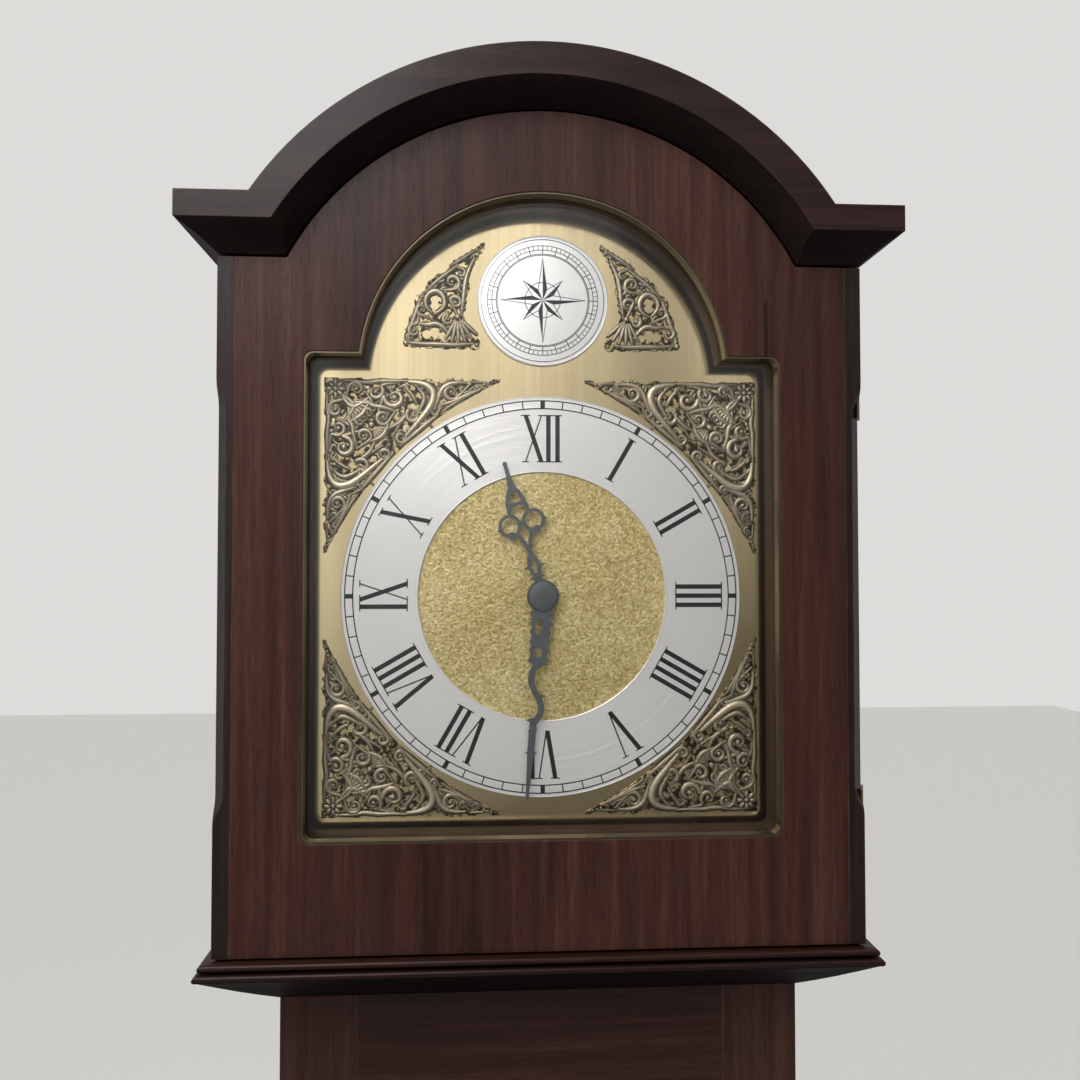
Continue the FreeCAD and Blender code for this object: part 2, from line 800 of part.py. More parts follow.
def hood_glass():
    y0 = face_y + slip_setback + slip_depth
    return opening_slab(glass_lap - joint_gap, y0, y0 + glass_thickness)


def hood_hinge_heights():
    return (
        hood_foot_z + hood_hinge_end_distance,
        ear_soffit_z - hood_hinge_end_distance)


def trunk_hinge_heights():
    return (
        trunk_opening_foot_z + trunk_hinge_end_distance,
        trunk_opening_top_z - trunk_hinge_end_distance)


def knuckles(x, y, z, moving):
    # The knuckles share the hinge's length; the door carries every second one.
    share = hinge_length / knuckle_count
    shapes = []
    for index in range(knuckle_count):
        if (index % 2 == 1) == moving:
            low = z - hinge_length / 2 + index * share + joint_gap / 2
            shapes.append(rod_z(x, y, knuckle_radius, low, low + share - joint_gap))
    return shapes


def notches(x, y, z, moving):
    # Room in one leaf for the other leaf's knuckles.
    share = hinge_length / knuckle_count
    shapes = []
    for index in range(knuckle_count):
        if (index % 2 == 1) != moving:
            low = z - hinge_length / 2 + index * share
            shapes.append(rod_z(
                x, y, knuckle_radius + joint_gap, low - joint_gap / 2,
                low + share + joint_gap / 2))
    return shapes


def hinge_half(x, y, z, leaf, moving):
    plate = box(leaf[0], leaf[1], leaf[2], leaf[3], z - hinge_length / 2, z + hinge_length / 2)
    for notch in notches(x, y, z, moving):
        plate = plate.cut(notch)
    half = plate.fuse(knuckles(x, y, z, moving))
    low = z - hinge_length / 2
    if moving:
        bore = rod_z(
            x, y, hinge_pin_radius + shaft_clearance, low - overrun,
            z + hinge_length / 2 + overrun)
        return half.cut(bore)
    pin = rod_z(x, y, hinge_pin_radius, low, z + hinge_length / 2)
    return half.fuse(pin).removeSplitter()


def hood_hinge(z, moving):
    x0 = hood_half_width - hinge_leaf_thickness
    if moving:
        leaf = (x0, hood_half_width, hood_axis_y - hinge_leaf_width, hood_axis_y)
    else:
        leaf = (x0, hood_half_width, hood_axis_y, hood_axis_y + hinge_leaf_width)
    return hinge_half(hood_axis_x, hood_axis_y, z, leaf, moving)


def hood_hinge_pocket(z):
    low = z - hinge_length / 2
    high = z + hinge_length / 2
    leaf = box(
        hood_half_width - hinge_leaf_thickness, hood_half_width + overrun,
        hood_axis_y - hinge_leaf_width, hood_axis_y + hinge_leaf_width, low, high)
    barrel = rod_z(hood_axis_x, hood_axis_y, knuckle_radius + joint_gap, low, high)
    return leaf.fuse(barrel)


def trunk_hinge(z, moving):
    if moving:
        x0 = trunk_door_half_width
        leaf = (
            x0, x0 + hinge_leaf_thickness, trunk_axis_y - hinge_leaf_width,
            trunk_axis_y)
    else:
        leaf = (
            trunk_axis_x, trunk_axis_x + hinge_leaf_width + knuckle_radius,
            trunk_y - hinge_leaf_thickness, trunk_y)
    return hinge_half(trunk_axis_x, trunk_axis_y, z, leaf, moving)


def trunk_door():
    x1 = trunk_door_half_width
    z0 = trunk_opening_foot_z - trunk_door_lap
    z1 = trunk_opening_top_z + trunk_door_lap
    front = trunk_y - trunk_door_thickness
    board = box(-x1, x1, front, trunk_y - joint_gap, z0, z1)
    edges = [
        edge for edge in board.Edges
        if abs(edge.CenterOfMass.y - front) < joint_gap and edge.CenterOfMass.x < x1 - joint_gap]
    board = board.makeFillet(trunk_door_edge_radius, edges)
    side = x1 - trunk_panel_margin
    low = z0 + trunk_panel_margin
    high = z1 - trunk_panel_margin
    slope = trunk_panel_slope
    window = (-side + slope, side - slope, low + slope, high - slope)
    board = board.cut(hollowed(
        (-side, side, low, high), window, slope, trunk_panel_depth, front))
    bore = rod_y(
        catch_x, catch_z, catch_shaft_radius + shaft_clearance,
        front - overrun, trunk_y + overrun)
    return board.cut(bore)


def trunk_catch():
    # Knob, shaft and tongue; the tongue hangs upright, clear of the stile, when unlatched.
    front = trunk_y - trunk_door_thickness - joint_gap
    tip = front - catch_knob_length
    rose = front - catch_rose_thickness
    neck = catch_knob_neck_radius
    outline = [
        at(0, tip, 0),
        (at(catch_knob_radius * math.sqrt(0.5), tip + catch_knob_radius * catch_knob_crown_share, 0),
         at(catch_knob_radius, tip + catch_knob_radius * catch_knob_widest_share, 0)),
        at(neck, rose - neck, 0), at(neck, rose, 0), at(catch_rose_radius, rose, 0),
        at(catch_rose_radius, front, 0), at(0, front, 0)]
    knob = Part.Face(closed_wire(outline)).revolve(at(0, 0, 0), at(0, 1, 0), 360)
    knob.translate(at(catch_x, 0, catch_z))
    back = trunk_y + trunk_frame_thickness + joint_gap
    shaft = rod_y(catch_x, catch_z, catch_shaft_radius, front, back + catch_tongue_thickness)
    half = catch_tongue_width / 2
    tongue = box(
        catch_x - half, catch_x + half, back, back + catch_tongue_thickness,
        catch_z - catch_tongue_length + half, catch_z)
    round_end = rod_y(catch_x, catch_z, half, back, back + catch_tongue_thickness)
    foot_end = rod_y(
        catch_x, catch_z - catch_tongue_length + half, half, back, back + catch_tongue_thickness)
    return join(knob, shaft, tongue, round_end, foot_end)


def dial_mask():
    inner = hood_half_width - hood_side_thickness
    y0 = hood_door_rear_y + mask_setback
    radius = crown_outer_radius - roof_step - roof_thickness
    top = ear_top_z - roof_step - roof_thickness
    board = Part.Face(break_arch(
        inner, hood_foot_z, top, radius, crown_centre_z, y0)).extrude(at(0, dial_y - y0, 0))
    return board.cut(opening_slab(mask_margin, y0 - overrun, dial_y + overrun))


def dial_plate():
    plate = opening_slab(dial_margin, dial_y, dial_y + dial_thickness)
    feet = []
    for across in (-dial_foot_across, dial_foot_across):
        for up in (-dial_foot_up, dial_foot_up):
            feet.append(rod_y(
                across, dial_z + up, dial_foot_radius, dial_y + dial_thickness, front_plate_y))
    hole = rod_y(0, dial_z, dial_hole_radius, dial_y - overrun, dial_y + dial_thickness + overrun)
    return join(plate, *feet).cut(hole)


def dial_centre():
    y0 = dial_y - centre_thickness
    disc = rod_y(0, dial_z, centre_radius, y0, dial_y)
    return disc.cut(rod_y(0, dial_z, dial_hole_radius, y0 - overrun, dial_y + overrun))


def chapter_ring():
    y0 = dial_y - chapter_thickness
    radius = chapter_outer_radius
    ring = rod_y(0, dial_z, radius, y0, dial_y)
    ring = ring.makeChamfer(chapter_edge, [
        edge for edge in ring.Edges if abs(edge.BoundBox.YMax - y0) < joint_gap])
    return ring.cut(rod_y(0, dial_z, chapter_inner_radius, y0 - overrun, dial_y + overrun))


def boss():
    z = dial_z + boss_above
    rim_y = dial_y - boss_thickness
    outline = [
        at(0, dial_y, 0), at(0, rim_y - boss_dome, 0),
        (at(boss_radius / 2, rim_y - boss_dome * dome_half_way_share, 0),
         at(boss_radius, rim_y, 0)),
        at(boss_radius, dial_y, 0)]
    disc = Part.Face(closed_wire(outline)).revolve(at(0, 0, 0), at(0, 1, 0), 360)
    disc.translate(at(0, 0, z))
    return disc


def corner_spandrel(across, up):
    # Cast in one corner of the dial: legs that taper along a wide curve, scallops and eyes.
    y0 = dial_y - spandrel_thickness
    y1 = dial_y
    corner = spandrel_corner
    tip = corner - spandrel_leg
    nearest = chapter_outer_radius + spandrel_ring_clearance
    middle = (nearest - spandrel_curve_radius) * math.sqrt(0.5)
    curve = rod_y(middle, middle, spandrel_curve_radius, y0 - overrun, y1 + overrun)
    plate = box(tip, corner, y0, y1, tip, corner).cut(curve)
    depth = spandrel_scallop_radius * spandrel_scallop_depth_share
    out = corner + spandrel_scallop_radius - depth
    cutters = []
    for share in spandrel_scallop_places_shares:
        along = corner - spandrel_leg * share
        for x, z in ((along, out), (out, along)):
            cutters.append(rod_y(x, z, spandrel_scallop_radius, y0 - overrun, y1 + overrun))
    for first, second, radius in spandrel_eyes:
        for x, z in ((first, second), (second, first)):
            cutters.append(rod_y(corner - x, corner - z, radius, y0 - overrun, y1 + overrun))
    plate = plate.cut(cutters)
    plate.rotate(at(0, 0, 0), at(0, 1, 0), quarter_turns[(across, up)] * 90)
    plate.translate(at(0, 0, dial_z))
    return plate.removeSplitter()


def arch_spandrel(side):
    y0 = dial_y - spandrel_thickness
    lobes = []
    for across, above, radius in arch_spandrel_lobes:
        lobes.append(rod_y(side * across, dial_z + above, radius, y0, dial_y))
    eyes = []
    for across, above, radius in arch_spandrel_eyes:
        eyes.append(rod_y(
            side * across, dial_z + above, radius, y0 - overrun, dial_y + overrun))
    return join(*lobes).cut(eyes)


def strip(points, half_width, y, thickness):
    # A flat bar through (along, across) points, built from overlapping straight lengths.
    shapes = []
    for start, end in zip(points, points[1:]):
        dx = end[1] - start[1]
        dz = end[0] - start[0]
        length = math.hypot(dx, dz)
        bar = box(-half_width, half_width, y, y + thickness, 0, length)
        bar.rotate(at(0, 0, 0), at(0, 1, 0), math.degrees(math.atan2(dx, dz)))
        bar.translate(at(start[1], 0, start[0]))
        shapes.append(bar)
        shapes.append(rod_y(end[1], end[0], half_width, y, y + thickness))
    return shapes


def tapering(shares, length, y):
    # A tapering blade, mirrored about the hand's own line; shares are (along, half width).
    points = [at(-half * length, y, along * length) for along, half in shares]
    points += [at(half * length, y, along * length) for along, half in reversed(shares)]
    return extruded(points, at(0, hand_thickness, 0))


def placed_hand(shape, angle):
    shape.rotate(at(0, 0, 0), at(0, 1, 0), -angle)
    shape.translate(at(0, 0, dial_z))
    return shape


def disc_at(along, across, radius, y):
    return rod_y(across, along, radius, y, y + hand_thickness)


def scaled(shares, size, side=1):
    return [(along * size, side * across * size) for along, across in shares]


def thorn(shares, size, side, y):
    along, root, point, half_width = [share * size for share in shares]
    return extruded([
        at(side * root, y, along - half_width), at(side * point, y, along),
        at(side * root, y, along + half_width)], at(0, hand_thickness, 0))


def hour_hand():
    size = hour_hand_length
    y = face_y + hour_hand_setback
    bar = hour_bar_share * size / 2
    ring_up = hour_ring_up_share * size
    solids = [
        tapering(hour_head_shares, size, y),
        disc_at(size - hour_tip_ball_share * size, 0, hour_tip_ball_share * size, y),
        disc_at(0, 0, hour_hub_radius, y),
        disc_at(ring_up, 0, hour_bridge_radius_share * size, y)]
    crossbar_shares = [(hour_crossbar_up_share, 0), (hour_crossbar_up_share, hour_leg_shares[3][1])]
    for side in (-1, 1):
        ring_across = side * hour_ring_across_share * size
        solids.append(disc_at(ring_up, ring_across, hour_ring_radius_share * size, y))
        solids += [thorn(shares, size, side, y) for shares in hour_thorn_shares]
        for shares in (hour_leg_shares, crossbar_shares, hour_fork_shares, hour_loop_shares):
            solids += strip(scaled(shares, size, side), bar, y, hand_thickness)
        solids.append(disc_at(
            hour_crossbar_up_share * size, side * hour_crossbar_ball_across_share * size,
            hour_crossbar_ball_share * size, y))
    stem = hour_stem_bar_share * size / 2
    solids += strip([(0, 0), (hour_collar_up_share * size, 0)], stem, y, hand_thickness)
    hand = join(*solids)
    y0 = y - overrun
    y1 = y + hand_thickness + overrun
    balls = []
    for side in (-1, 1):
        ring_across = side * hour_ring_across_share * size
        hand = hand.cut(rod_y(ring_across, ring_up, hour_ring_hole_share * size, y0, y1))
        balls.append(disc_at(
            hour_ball_up_share * size, side * hour_ball_across_share * size,
            hour_ball_radius_share * size, y))
    hand = join(hand, *balls).cut(rod_y(0, 0, hour_pipe_radius, y0, y1))
    return placed_hand(hand, hour_hand_angle)


def minute_hand():
    size = minute_hand_length
    y = face_y + minute_hand_setback
    solids = [
        disc_at(0, 0, minute_hub_radius, y), tapering(minute_stem_shares, size, y),
        tapering(minute_pointer_shares, size, y)]
    for side in (-1, 1):
        for along, across in scaled(minute_scallop_shares, size, side):
            solids.append(disc_at(along, across, minute_scallop_radius_share * size, y))
    solids += strip(
        scaled(minute_curve_shares, size), minute_curve_half_width_share * size, y,
        hand_thickness)
    solids += [thorn(shares, size, 1, y) for shares in minute_thorn_shares]
    hand = join(*solids)
    y0 = y - overrun
    y1 = y + hand_thickness + overrun
    for hole_shares in minute_stem_hole_shares:
        along, across, radius, half_length = [share * size for share in hole_shares]
        hand = hand.cut(join(
            rod_y(across, along - half_length, radius, y0, y1),
            rod_y(across, along + half_length, radius, y0, y1),
            box(across - radius, across + radius, y0, y1, along - half_length,
                along + half_length)))
    hand = hand.cut(rod_y(0, 0, cannon_radius, y0, y1))
    return placed_hand(hand, minute_hand_angle)


def mesh_turn(leader_turn, leader_count, count, bearing):
    # The turn that puts a gap of the follower opposite a tooth of the leader.
    pitch = 360 / leader_count
    offset = ((bearing - leader_turn) % pitch) / pitch
    return bearing + 180 + (0.5 + offset) * 360 / count


def bearing_between(x0, z0, x1, z1):
    return math.degrees(math.atan2(x1 - x0, z1 - z0))


def plate_blank(y):
    return box(
        -plate_half_width, plate_half_width, y, y + plate_thickness,
        seat_z, dial_z + plate_top_above)


def front_plate():
    plate = plate_blank(front_plate_y)
    y0 = front_plate_y - overrun
    y1 = front_plate_y + plate_thickness + overrun
    for x, z in arbor_places:
        plate = plate.cut(rod_y(x, z, pivot_radius + shaft_clearance, y0, y1))
    plate = plate.cut(rod_y(0, dial_z, arbor_radius + shaft_clearance, y0, y1))
    post = rod_y(
        minute_x, minute_z, pivot_radius, hour_wheel_y - joint_gap, front_plate_y)
    return join(plate, post)


def back_plate():
    plate = plate_blank(back_plate_y)
    y1 = back_plate_y + plate_thickness + overrun
    for x, z in arbor_places[:3] + ((0, dial_z),):
        plate = plate.cut(rod_y(
            x, z, pivot_radius + shaft_clearance, back_plate_y - overrun, y1))
    plate = plate.cut(rod_y(0, pallet_z, pallet_hole_radius, back_plate_y - overrun, y1))
    pillars = []
    for across in (-pillar_across, pillar_across):
        for z in (dial_z + pillar_up_above, dial_z - pillar_down_below):
            pillars.append(rod_y(
                across, z, pillar_radius, front_plate_y + plate_thickness, back_plate_y))
    return join(plate, *pillars)


def seatboard():
    y0 = face_y + seatboard_setback
    y1 = y0 + seatboard_depth
    z0 = seat_z - seatboard_thickness
    board = box(-trunk_half_width, trunk_half_width, y0, y1, z0, seat_z)
    for x in (-sprocket_radius, sprocket_radius):
        board = board.cut(rod_z(
            x, face_y + sprocket_setback, chain_hole_radius, z0 - overrun, seat_z + overrun))
    return board


def back_cock():
    # A bridge behind the back plate: it carries the pallet arbor and hangs the pendulum.
    y0 = back_plate_y + plate_thickness
    y1 = face_y + cock_setback
    y2 = y1 + cock_thickness
    top = pallet_z + cock_leg_height / 2
    low = pallet_z - cock_leg_height / 2
    bridge = box(-cock_half_width, cock_half_width, y1, y2, low, top)
    legs = []
    for side in (-1, 1):
        outer = side * cock_half_width
        inner = side * (cock_half_width - cock_leg_width)
        legs.append(box(min(outer, inner), max(outer, inner), y0, y1, low, top))
    rear = face_y + pendulum_setback + spring_width / 2 + cock_thickness
    base = pallet_z + chops_height
    arm = box(-chops_half_width, chops_half_width, y2, rear, base, top)
    chops = box(
        -chops_half_width, chops_half_width,
        face_y + pendulum_setback - spring_width / 2, rear - cock_thickness, pallet_z, base)
    cock = join(bridge, arm, chops, *legs)
    return cock.cut(rod_y(0, pallet_z, pivot_radius + shaft_clearance, y1 - overrun, y2 + joint_gap))


def arbor(x, z):
    # A plain arbor between the plates with a thinner pivot at each end.
    front = front_plate_y + plate_thickness + joint_gap
    back = back_plate_y - joint_gap
    body = rod_y(x, z, arbor_radius, front, back)
    pivots = rod_y(
        x, z, pivot_radius, front_plate_y, back_plate_y + plate_thickness)
    return body.fuse(pivots)


def great_wheel():
    y = face_y + great_setback
    disc = gear(great_teeth, great_module, 0, great_z, y, wheel_thickness, great_turn)
    disc = crossed_out(
        disc, 0, great_z, y, wheel_thickness, great_module * great_teeth / 2 * rim_share)
    return join(disc, arbor(0, great_z))


def sprocket():
    # A grooved chain wheel between two flanges, beside the great wheel.
    middle = face_y + sprocket_setback
    y0 = middle - sprocket_width / 2
    y1 = middle + sprocket_width / 2
    hub = rod_y(0, great_z, sprocket_radius - chain_radius - joint_gap, y0, y1)
    flange = sprocket_radius + sprocket_flange_height - chain_radius
    solids = [hub]
    for y in (y0, y1 - sprocket_flange_thickness):
        solids.append(rod_y(0, great_z, flange, y, y + sprocket_flange_thickness))
    wheel = join(*solids)
    return wheel.cut(rod_y(0, great_z, arbor_radius + shaft_clearance, y0 - overrun, y1 + overrun))


centre_turn = 0.0
great_turn = mesh_turn(centre_turn, centre_pinion_leaves, great_teeth, 180.0)
third_turn = mesh_turn(
    centre_turn, centre_teeth, third_pinion_leaves,
    bearing_between(0, dial_z, third_x, third_z))
escape_turn = mesh_turn(
    third_turn, third_teeth, escape_pinion_leaves,
    bearing_between(third_x, third_z, 0, escape_z))


def centre_arbor():
    y = face_y + centre_wheel_setback
    disc = gear(centre_teeth, centre_module, 0, dial_z, y, wheel_thickness, centre_turn)
    disc = crossed_out(
        disc, 0, dial_z, y, wheel_thickness, centre_module * centre_teeth / 2 * rim_share)
    middle = face_y + great_setback + wheel_thickness / 2
    leaves = gear(
        centre_pinion_leaves, great_module, 0, dial_z, middle - pinion_length / 2,
        pinion_length, centre_turn, True)
    nose = rod_y(
        0, dial_z, arbor_radius, face_y + minute_hand_setback - hand_nut_height,
        front_plate_y + plate_thickness + joint_gap)
    return join(disc, leaves, arbor(0, dial_z), nose)


def third_arbor():
    y = face_y + third_wheel_setback
    disc = gear(third_teeth, third_module, third_x, third_z, y, wheel_thickness, third_turn)
    disc = crossed_out(
        disc, third_x, third_z, y, wheel_thickness, third_module * third_teeth / 2 * rim_share)
    middle = face_y + centre_wheel_setback + wheel_thickness / 2
    leaves = gear(
        third_pinion_leaves, centre_module, third_x, third_z, middle - pinion_length / 2,
        pinion_length, third_turn, True)
    return join(disc, leaves, arbor(third_x, third_z))


def escape_arbor():
    y = face_y + escape_setback
    half_pitch = math.pi / escape_teeth
    wire = toothed_wire(
        escape_teeth, escape_radius * rim_share, escape_radius,
        half_pitch * escape_tooth_share, half_pitch * escape_tip_share, 0, y, escape_z,
        escape_turn)
    disc = Part.Face(wire).extrude(at(0, wheel_thickness, 0))
    disc = crossed_out(
        disc, 0, escape_z, y, wheel_thickness, escape_radius * escape_rim_share)
    middle = face_y + third_wheel_setback + wheel_thickness / 2
    leaves = gear(
        escape_pinion_leaves, third_module, 0, escape_z, middle - pinion_length / 2,
        pinion_length, escape_turn, True)
    return join(disc, leaves, arbor(0, escape_z))


def pallets():
    # The anchor over the escape wheel, its arbor, and the crutch with its fork.
    y = face_y + escape_setback
    y1 = y + wheel_thickness
    reach = escape_radius + pallet_drop_clearance
    spread = math.radians(pallet_span_angle)
    solids = []
    for side in (-1, 1):
        x = side * reach * math.sin(spread)
        z = escape_z + reach * math.cos(spread)
        tip = (z, x)
        out = math.sqrt(0.5) * pallet_nib_length
        knee = (z + out, x + side * out)
        solids += strip([(pallet_z, 0), knee], pallet_arm_width / 2, y, wheel_thickness)
        half = pallet_arm_width / 2 * math.sqrt(0.5)
        solids.append(extruded([
            at(tip[1], y, tip[0]), at(tip[1] + side * half, y, tip[0] - half),
            at(knee[1] + side * half, y, knee[0] - half),
            at(knee[1] - side * half, y, knee[0] + half),
            at(tip[1] - side * half, y, tip[0] + half)], at(0, y1 - y, 0)))
    front = front_plate_y + plate_thickness + joint_gap
    rear = face_y + cock_setback
    solids.append(rod_y(0, pallet_z, arbor_radius, front, rear - joint_gap))
    solids.append(rod_y(0, pallet_z, pivot_radius, front_plate_y, rear + cock_thickness))
    y2 = face_y + crutch_setback
    y3 = y2 + crutch_thickness
    low = pallet_z - crutch_length
    solids.append(box(-crutch_width / 2, crutch_width / 2, y2, y3, low, pallet_z))
    grip = pendulum_rod_radius + joint_gap
    top = low + crutch_fork_height
    solids.append(box(-grip - crutch_thickness, grip + crutch_thickness, y2, y3, low, top))
    rod_rear = face_y + pendulum_setback + pendulum_rod_radius
    for side in (-1, 1):
        inner = side * grip
        outer = side * (grip + crutch_thickness)
        solids.append(box(min(inner, outer), max(inner, outer), y3, rod_rear, low, top))
    return join(*solids)


def pendulum():
    y = face_y + pendulum_setback
    spring_z = pallet_z - spring_length
    spring = box(
        -spring_thickness / 2, spring_thickness / 2, y - spring_width / 2, y + spring_width / 2,
        spring_z, pallet_z - joint_gap)
    block = box(
        -pendulum_rod_radius, pendulum_rod_radius, y - spring_width / 2, y + spring_width / 2,
        spring_z - pendulum_block_height, spring_z)
    rod_foot = pallet_z - pendulum_length - bob_radius - rod_below_bob
    rod = rod_z(0, y, pendulum_rod_radius, rod_foot, spring_z - pendulum_block_height)
    return join(spring, block, rod)


def bob():
    # A lens-shaped bob that slides on the rod.
    y = face_y + pendulum_setback
    half = bob_thickness / 2
    edge = bob_edge / 2
    swell = edge + (half - edge) * dome_half_way_share
    face = at(bob_radius / 2, y - swell, 0)
    rear = at(bob_radius / 2, y + swell, 0)
    outline = [
        at(0, y - half, 0), (face, at(bob_radius, y - edge, 0)), at(bob_radius, y + edge, 0),
        (rear, at(0, y + half, 0))]
    lens = Part.Face(closed_wire(outline)).revolve(at(0, 0, 0), at(0, 1, 0), 360)
    lens.translate(at(0, 0, bob_z))
    bore = rod_z(
        0, y, pendulum_rod_radius + shaft_clearance, bob_z - bob_radius - overrun,
        bob_z + bob_radius + overrun)
    return lens.cut(bore)


def rating_nut():
    y = face_y + pendulum_setback
    top = bob_z - bob_radius - joint_gap
    nut = rod_z(0, y, rating_nut_radius, top - rating_nut_height, top)
    return nut.cut(rod_z(
        0, y, pendulum_rod_radius + shaft_clearance, top - rating_nut_height - overrun,
        top + overrun))


minute_wheel_module = 2 * motion_distance / (cannon_leaves + minute_wheel_teeth)
hour_wheel_module = 2 * motion_distance / (minute_pinion_leaves + hour_wheel_teeth)
motion_bearing = bearing_between(0, dial_z, minute_x, minute_z)
minute_wheel_turn = mesh_turn(0, cannon_leaves, minute_wheel_teeth, motion_bearing)
hour_wheel_turn = mesh_turn(
    minute_wheel_turn, minute_pinion_leaves, hour_wheel_teeth, motion_bearing + 180)


def cannon_pinion():
    y = face_y + motion_setback
    leaves = gear(
        cannon_leaves, minute_wheel_module, 0, dial_z, y, front_plate_y - joint_gap - y, 0, True)
    front = face_y + minute_hand_setback
    pipe = rod_y(0, dial_z, cannon_radius, front, front_plate_y - joint_gap)
    nut = rod_y(0, dial_z, hand_nut_radius, front - hand_nut_height, front)
    bore = rod_y(
        0, dial_z, arbor_radius + shaft_clearance, front - hand_nut_height - overrun,
        front_plate_y + overrun)
    return join(leaves, pipe, nut).cut(bore)


def minute_wheel():
    y = face_y + motion_setback
    wheel = gear(
        minute_wheel_teeth, minute_wheel_module, minute_x, minute_z, y, motion_wheel_thickness,
        minute_wheel_turn)
    leaves = gear(
        minute_pinion_leaves, hour_wheel_module, minute_x, minute_z, hour_wheel_y,
        y - hour_wheel_y, minute_wheel_turn, True)
    bore = rod_y(
        minute_x, minute_z, pivot_radius + shaft_clearance, hour_wheel_y - overrun,
        front_plate_y + overrun)
    return join(wheel, leaves).cut(bore)


def hour_wheel():
    y = hour_wheel_y
    wheel = gear(
        hour_wheel_teeth, hour_wheel_module, 0, dial_z, y, motion_wheel_thickness,
        hour_wheel_turn)
    front = face_y + hour_hand_setback
    pipe = rod_y(0, dial_z, hour_pipe_radius, front, y + motion_wheel_thickness)
    bore = rod_y(
        0, dial_z, cannon_radius + shaft_clearance, front - overrun,
        y + motion_wheel_thickness + overrun)
    return join(wheel, pipe).cut(bore)


def chain_bend():
    # The half turn of chain that lies over the chain wheel.
    y0 = weight_y - chain_radius
    y1 = weight_y + chain_radius
    outer = sprocket_radius + chain_radius
    ring = rod_y(0, great_z, outer, y0, y1).cut(rod_y(
        0, great_z, sprocket_radius - chain_radius, y0 - overrun, y1 + overrun))
    return ring.common(box(-outer, outer, y0, y1, great_z, great_z + outer))


def chain_run(x, low_z):
    return rod_z(x, weight_y, chain_radius, low_z, great_z)


def weight():
    top = weight_hook_z - weight_hook_length
    neck = weight_neck_radius
    body_top = top - weight_dome
    foot = body_top - weight_length
    diagonal = math.sqrt(0.5)
    outline = [
        at(0, 0, foot - weight_dome),
        (at(weight_radius * diagonal, 0, foot - weight_dome * diagonal),
         at(weight_radius, 0, foot)),
        at(weight_radius, 0, body_top),
        (at(weight_radius * diagonal, 0, body_top + weight_dome * diagonal), at(neck, 0, top)),
        at(neck, 0, weight_hook_z), at(0, 0, weight_hook_z)]
    body = Part.Face(closed_wire(outline)).revolve(at(0, 0, 0), at(0, 0, 1), 360)
    body.translate(at(weight_x, weight_y, 0))
    return body


def chain_ring():
    # It hangs edge on to the weight, which passes it on the way down.
    outer = ring_radius + ring_wire_radius
    x0 = -weight_x - ring_wire_radius
    x1 = -weight_x + ring_wire_radius
    hole = rod_x(
        weight_y, ring_z - outer, ring_radius - ring_wire_radius, x0 - overrun, x1 + overrun)
    return rod_x(weight_y, ring_z - outer, outer, x0, x1).cut(hole)


def several(shapes):
    # Alike pieces that share one file.
    return Part.makeCompound(shapes)


parts = {
    "backboard": backboard(),
    "plinth_floor": plinth_floor(),
    "plinth_front": plinth_front(),
    "plinth_side_left": plinth_side(-1),
    "plinth_side_right": plinth_side(1),
    "skirting": skirting(),
    "plinth_moulding": plinth_moulding(),
    "trunk_side_left": trunk_side(-1),
    "trunk_side_right": trunk_side(1),
    "trunk_stile_left": trunk_stile(-1),
    "trunk_stile_right": trunk_stile(1),
    "trunk_rails": several([
        trunk_rail(plinth_height - trunk_foot_depth, trunk_opening_foot_z),
        trunk_rail(trunk_opening_top_z, hood_foot_z)]),
    "neck_moulding": neck_moulding(),
    "hood_side_left": hood_side(-1),
    "hood_side_right": hood_side(1),
    "hood_roof": hood_roof(),
    "crown": crown(),
    "dial_mask": dial_mask(),
    "dial_plate": dial_plate(),
    "dial_centre": dial_centre(),
    "chapter_ring": chapter_ring(),
    "boss": boss(),
    "spandrel_upper_right": corner_spandrel(1, 1),
    "spandrel_lower_right": corner_spandrel(1, -1),
    "spandrel_lower_left": corner_spandrel(-1, -1),
    "spandrel_upper_left": corner_spandrel(-1, 1),
    "arch_spandrels": several([arch_spandrel(-1), arch_spandrel(1)]),
    "seatboard": seatboard(),
    "front_plate": front_plate(),
    "back_plate": back_plate(),
    "back_cock": back_cock(),
    "chain_bend": chain_bend(),
    "chain_weight_run": chain_run(-sprocket_radius, weight_hook_z),
    "chain_free_run": chain_run(sprocket_radius, ring_z),
    "hinges_fixed": several(
        [hood_hinge(z, False) for z in hood_hinge_heights()]
        + [trunk_hinge(z, False) for z in trunk_hinge_heights()]),
    "hood_hinges_moving": several([hood_hinge(z, True) for z in hood_hinge_heights()]),
    "trunk_hinges_moving": several([trunk_hinge(z, True) for z in trunk_hinge_heights()]),
    "hood_door": hood_door(),
    "hood_lipping_left": hood_lipping(-1),
    "hood_lipping_right": hood_lipping(1),
    "hood_slip": hood_slip(),
    "hood_glass": hood_glass(),
    "trunk_door": trunk_door(),
    "trunk_catch": trunk_catch(),
    "minute_hand": minute_hand(),
    "cannon_pinion": cannon_pinion(),
    "hour_hand": hour_hand(),
    "hour_wheel": hour_wheel(),
    "minute_wheel": minute_wheel(),
    "great_wheel": great_wheel(),
    "sprocket": sprocket(),
    "centre_arbor": centre_arbor(),
    "third_arbor": third_arbor(),
    "escape_arbor": escape_arbor(),
    "pallets": pallets(),
    "pendulum": pendulum(),
    "bob": bob(),
    "rating_nut": rating_nut(),
    "weight": weight(),
    "chain_ring": chain_ring(),
}

os.makedirs("parts", exist_ok=True)
for name, shape in parts.items():
    if not shape.isValid():
        raise ValueError(name + " is not a valid solid")
    shape.exportStep("parts/" + name + ".step")
    print(name, len(shape.Solids), round(shape.Volume))
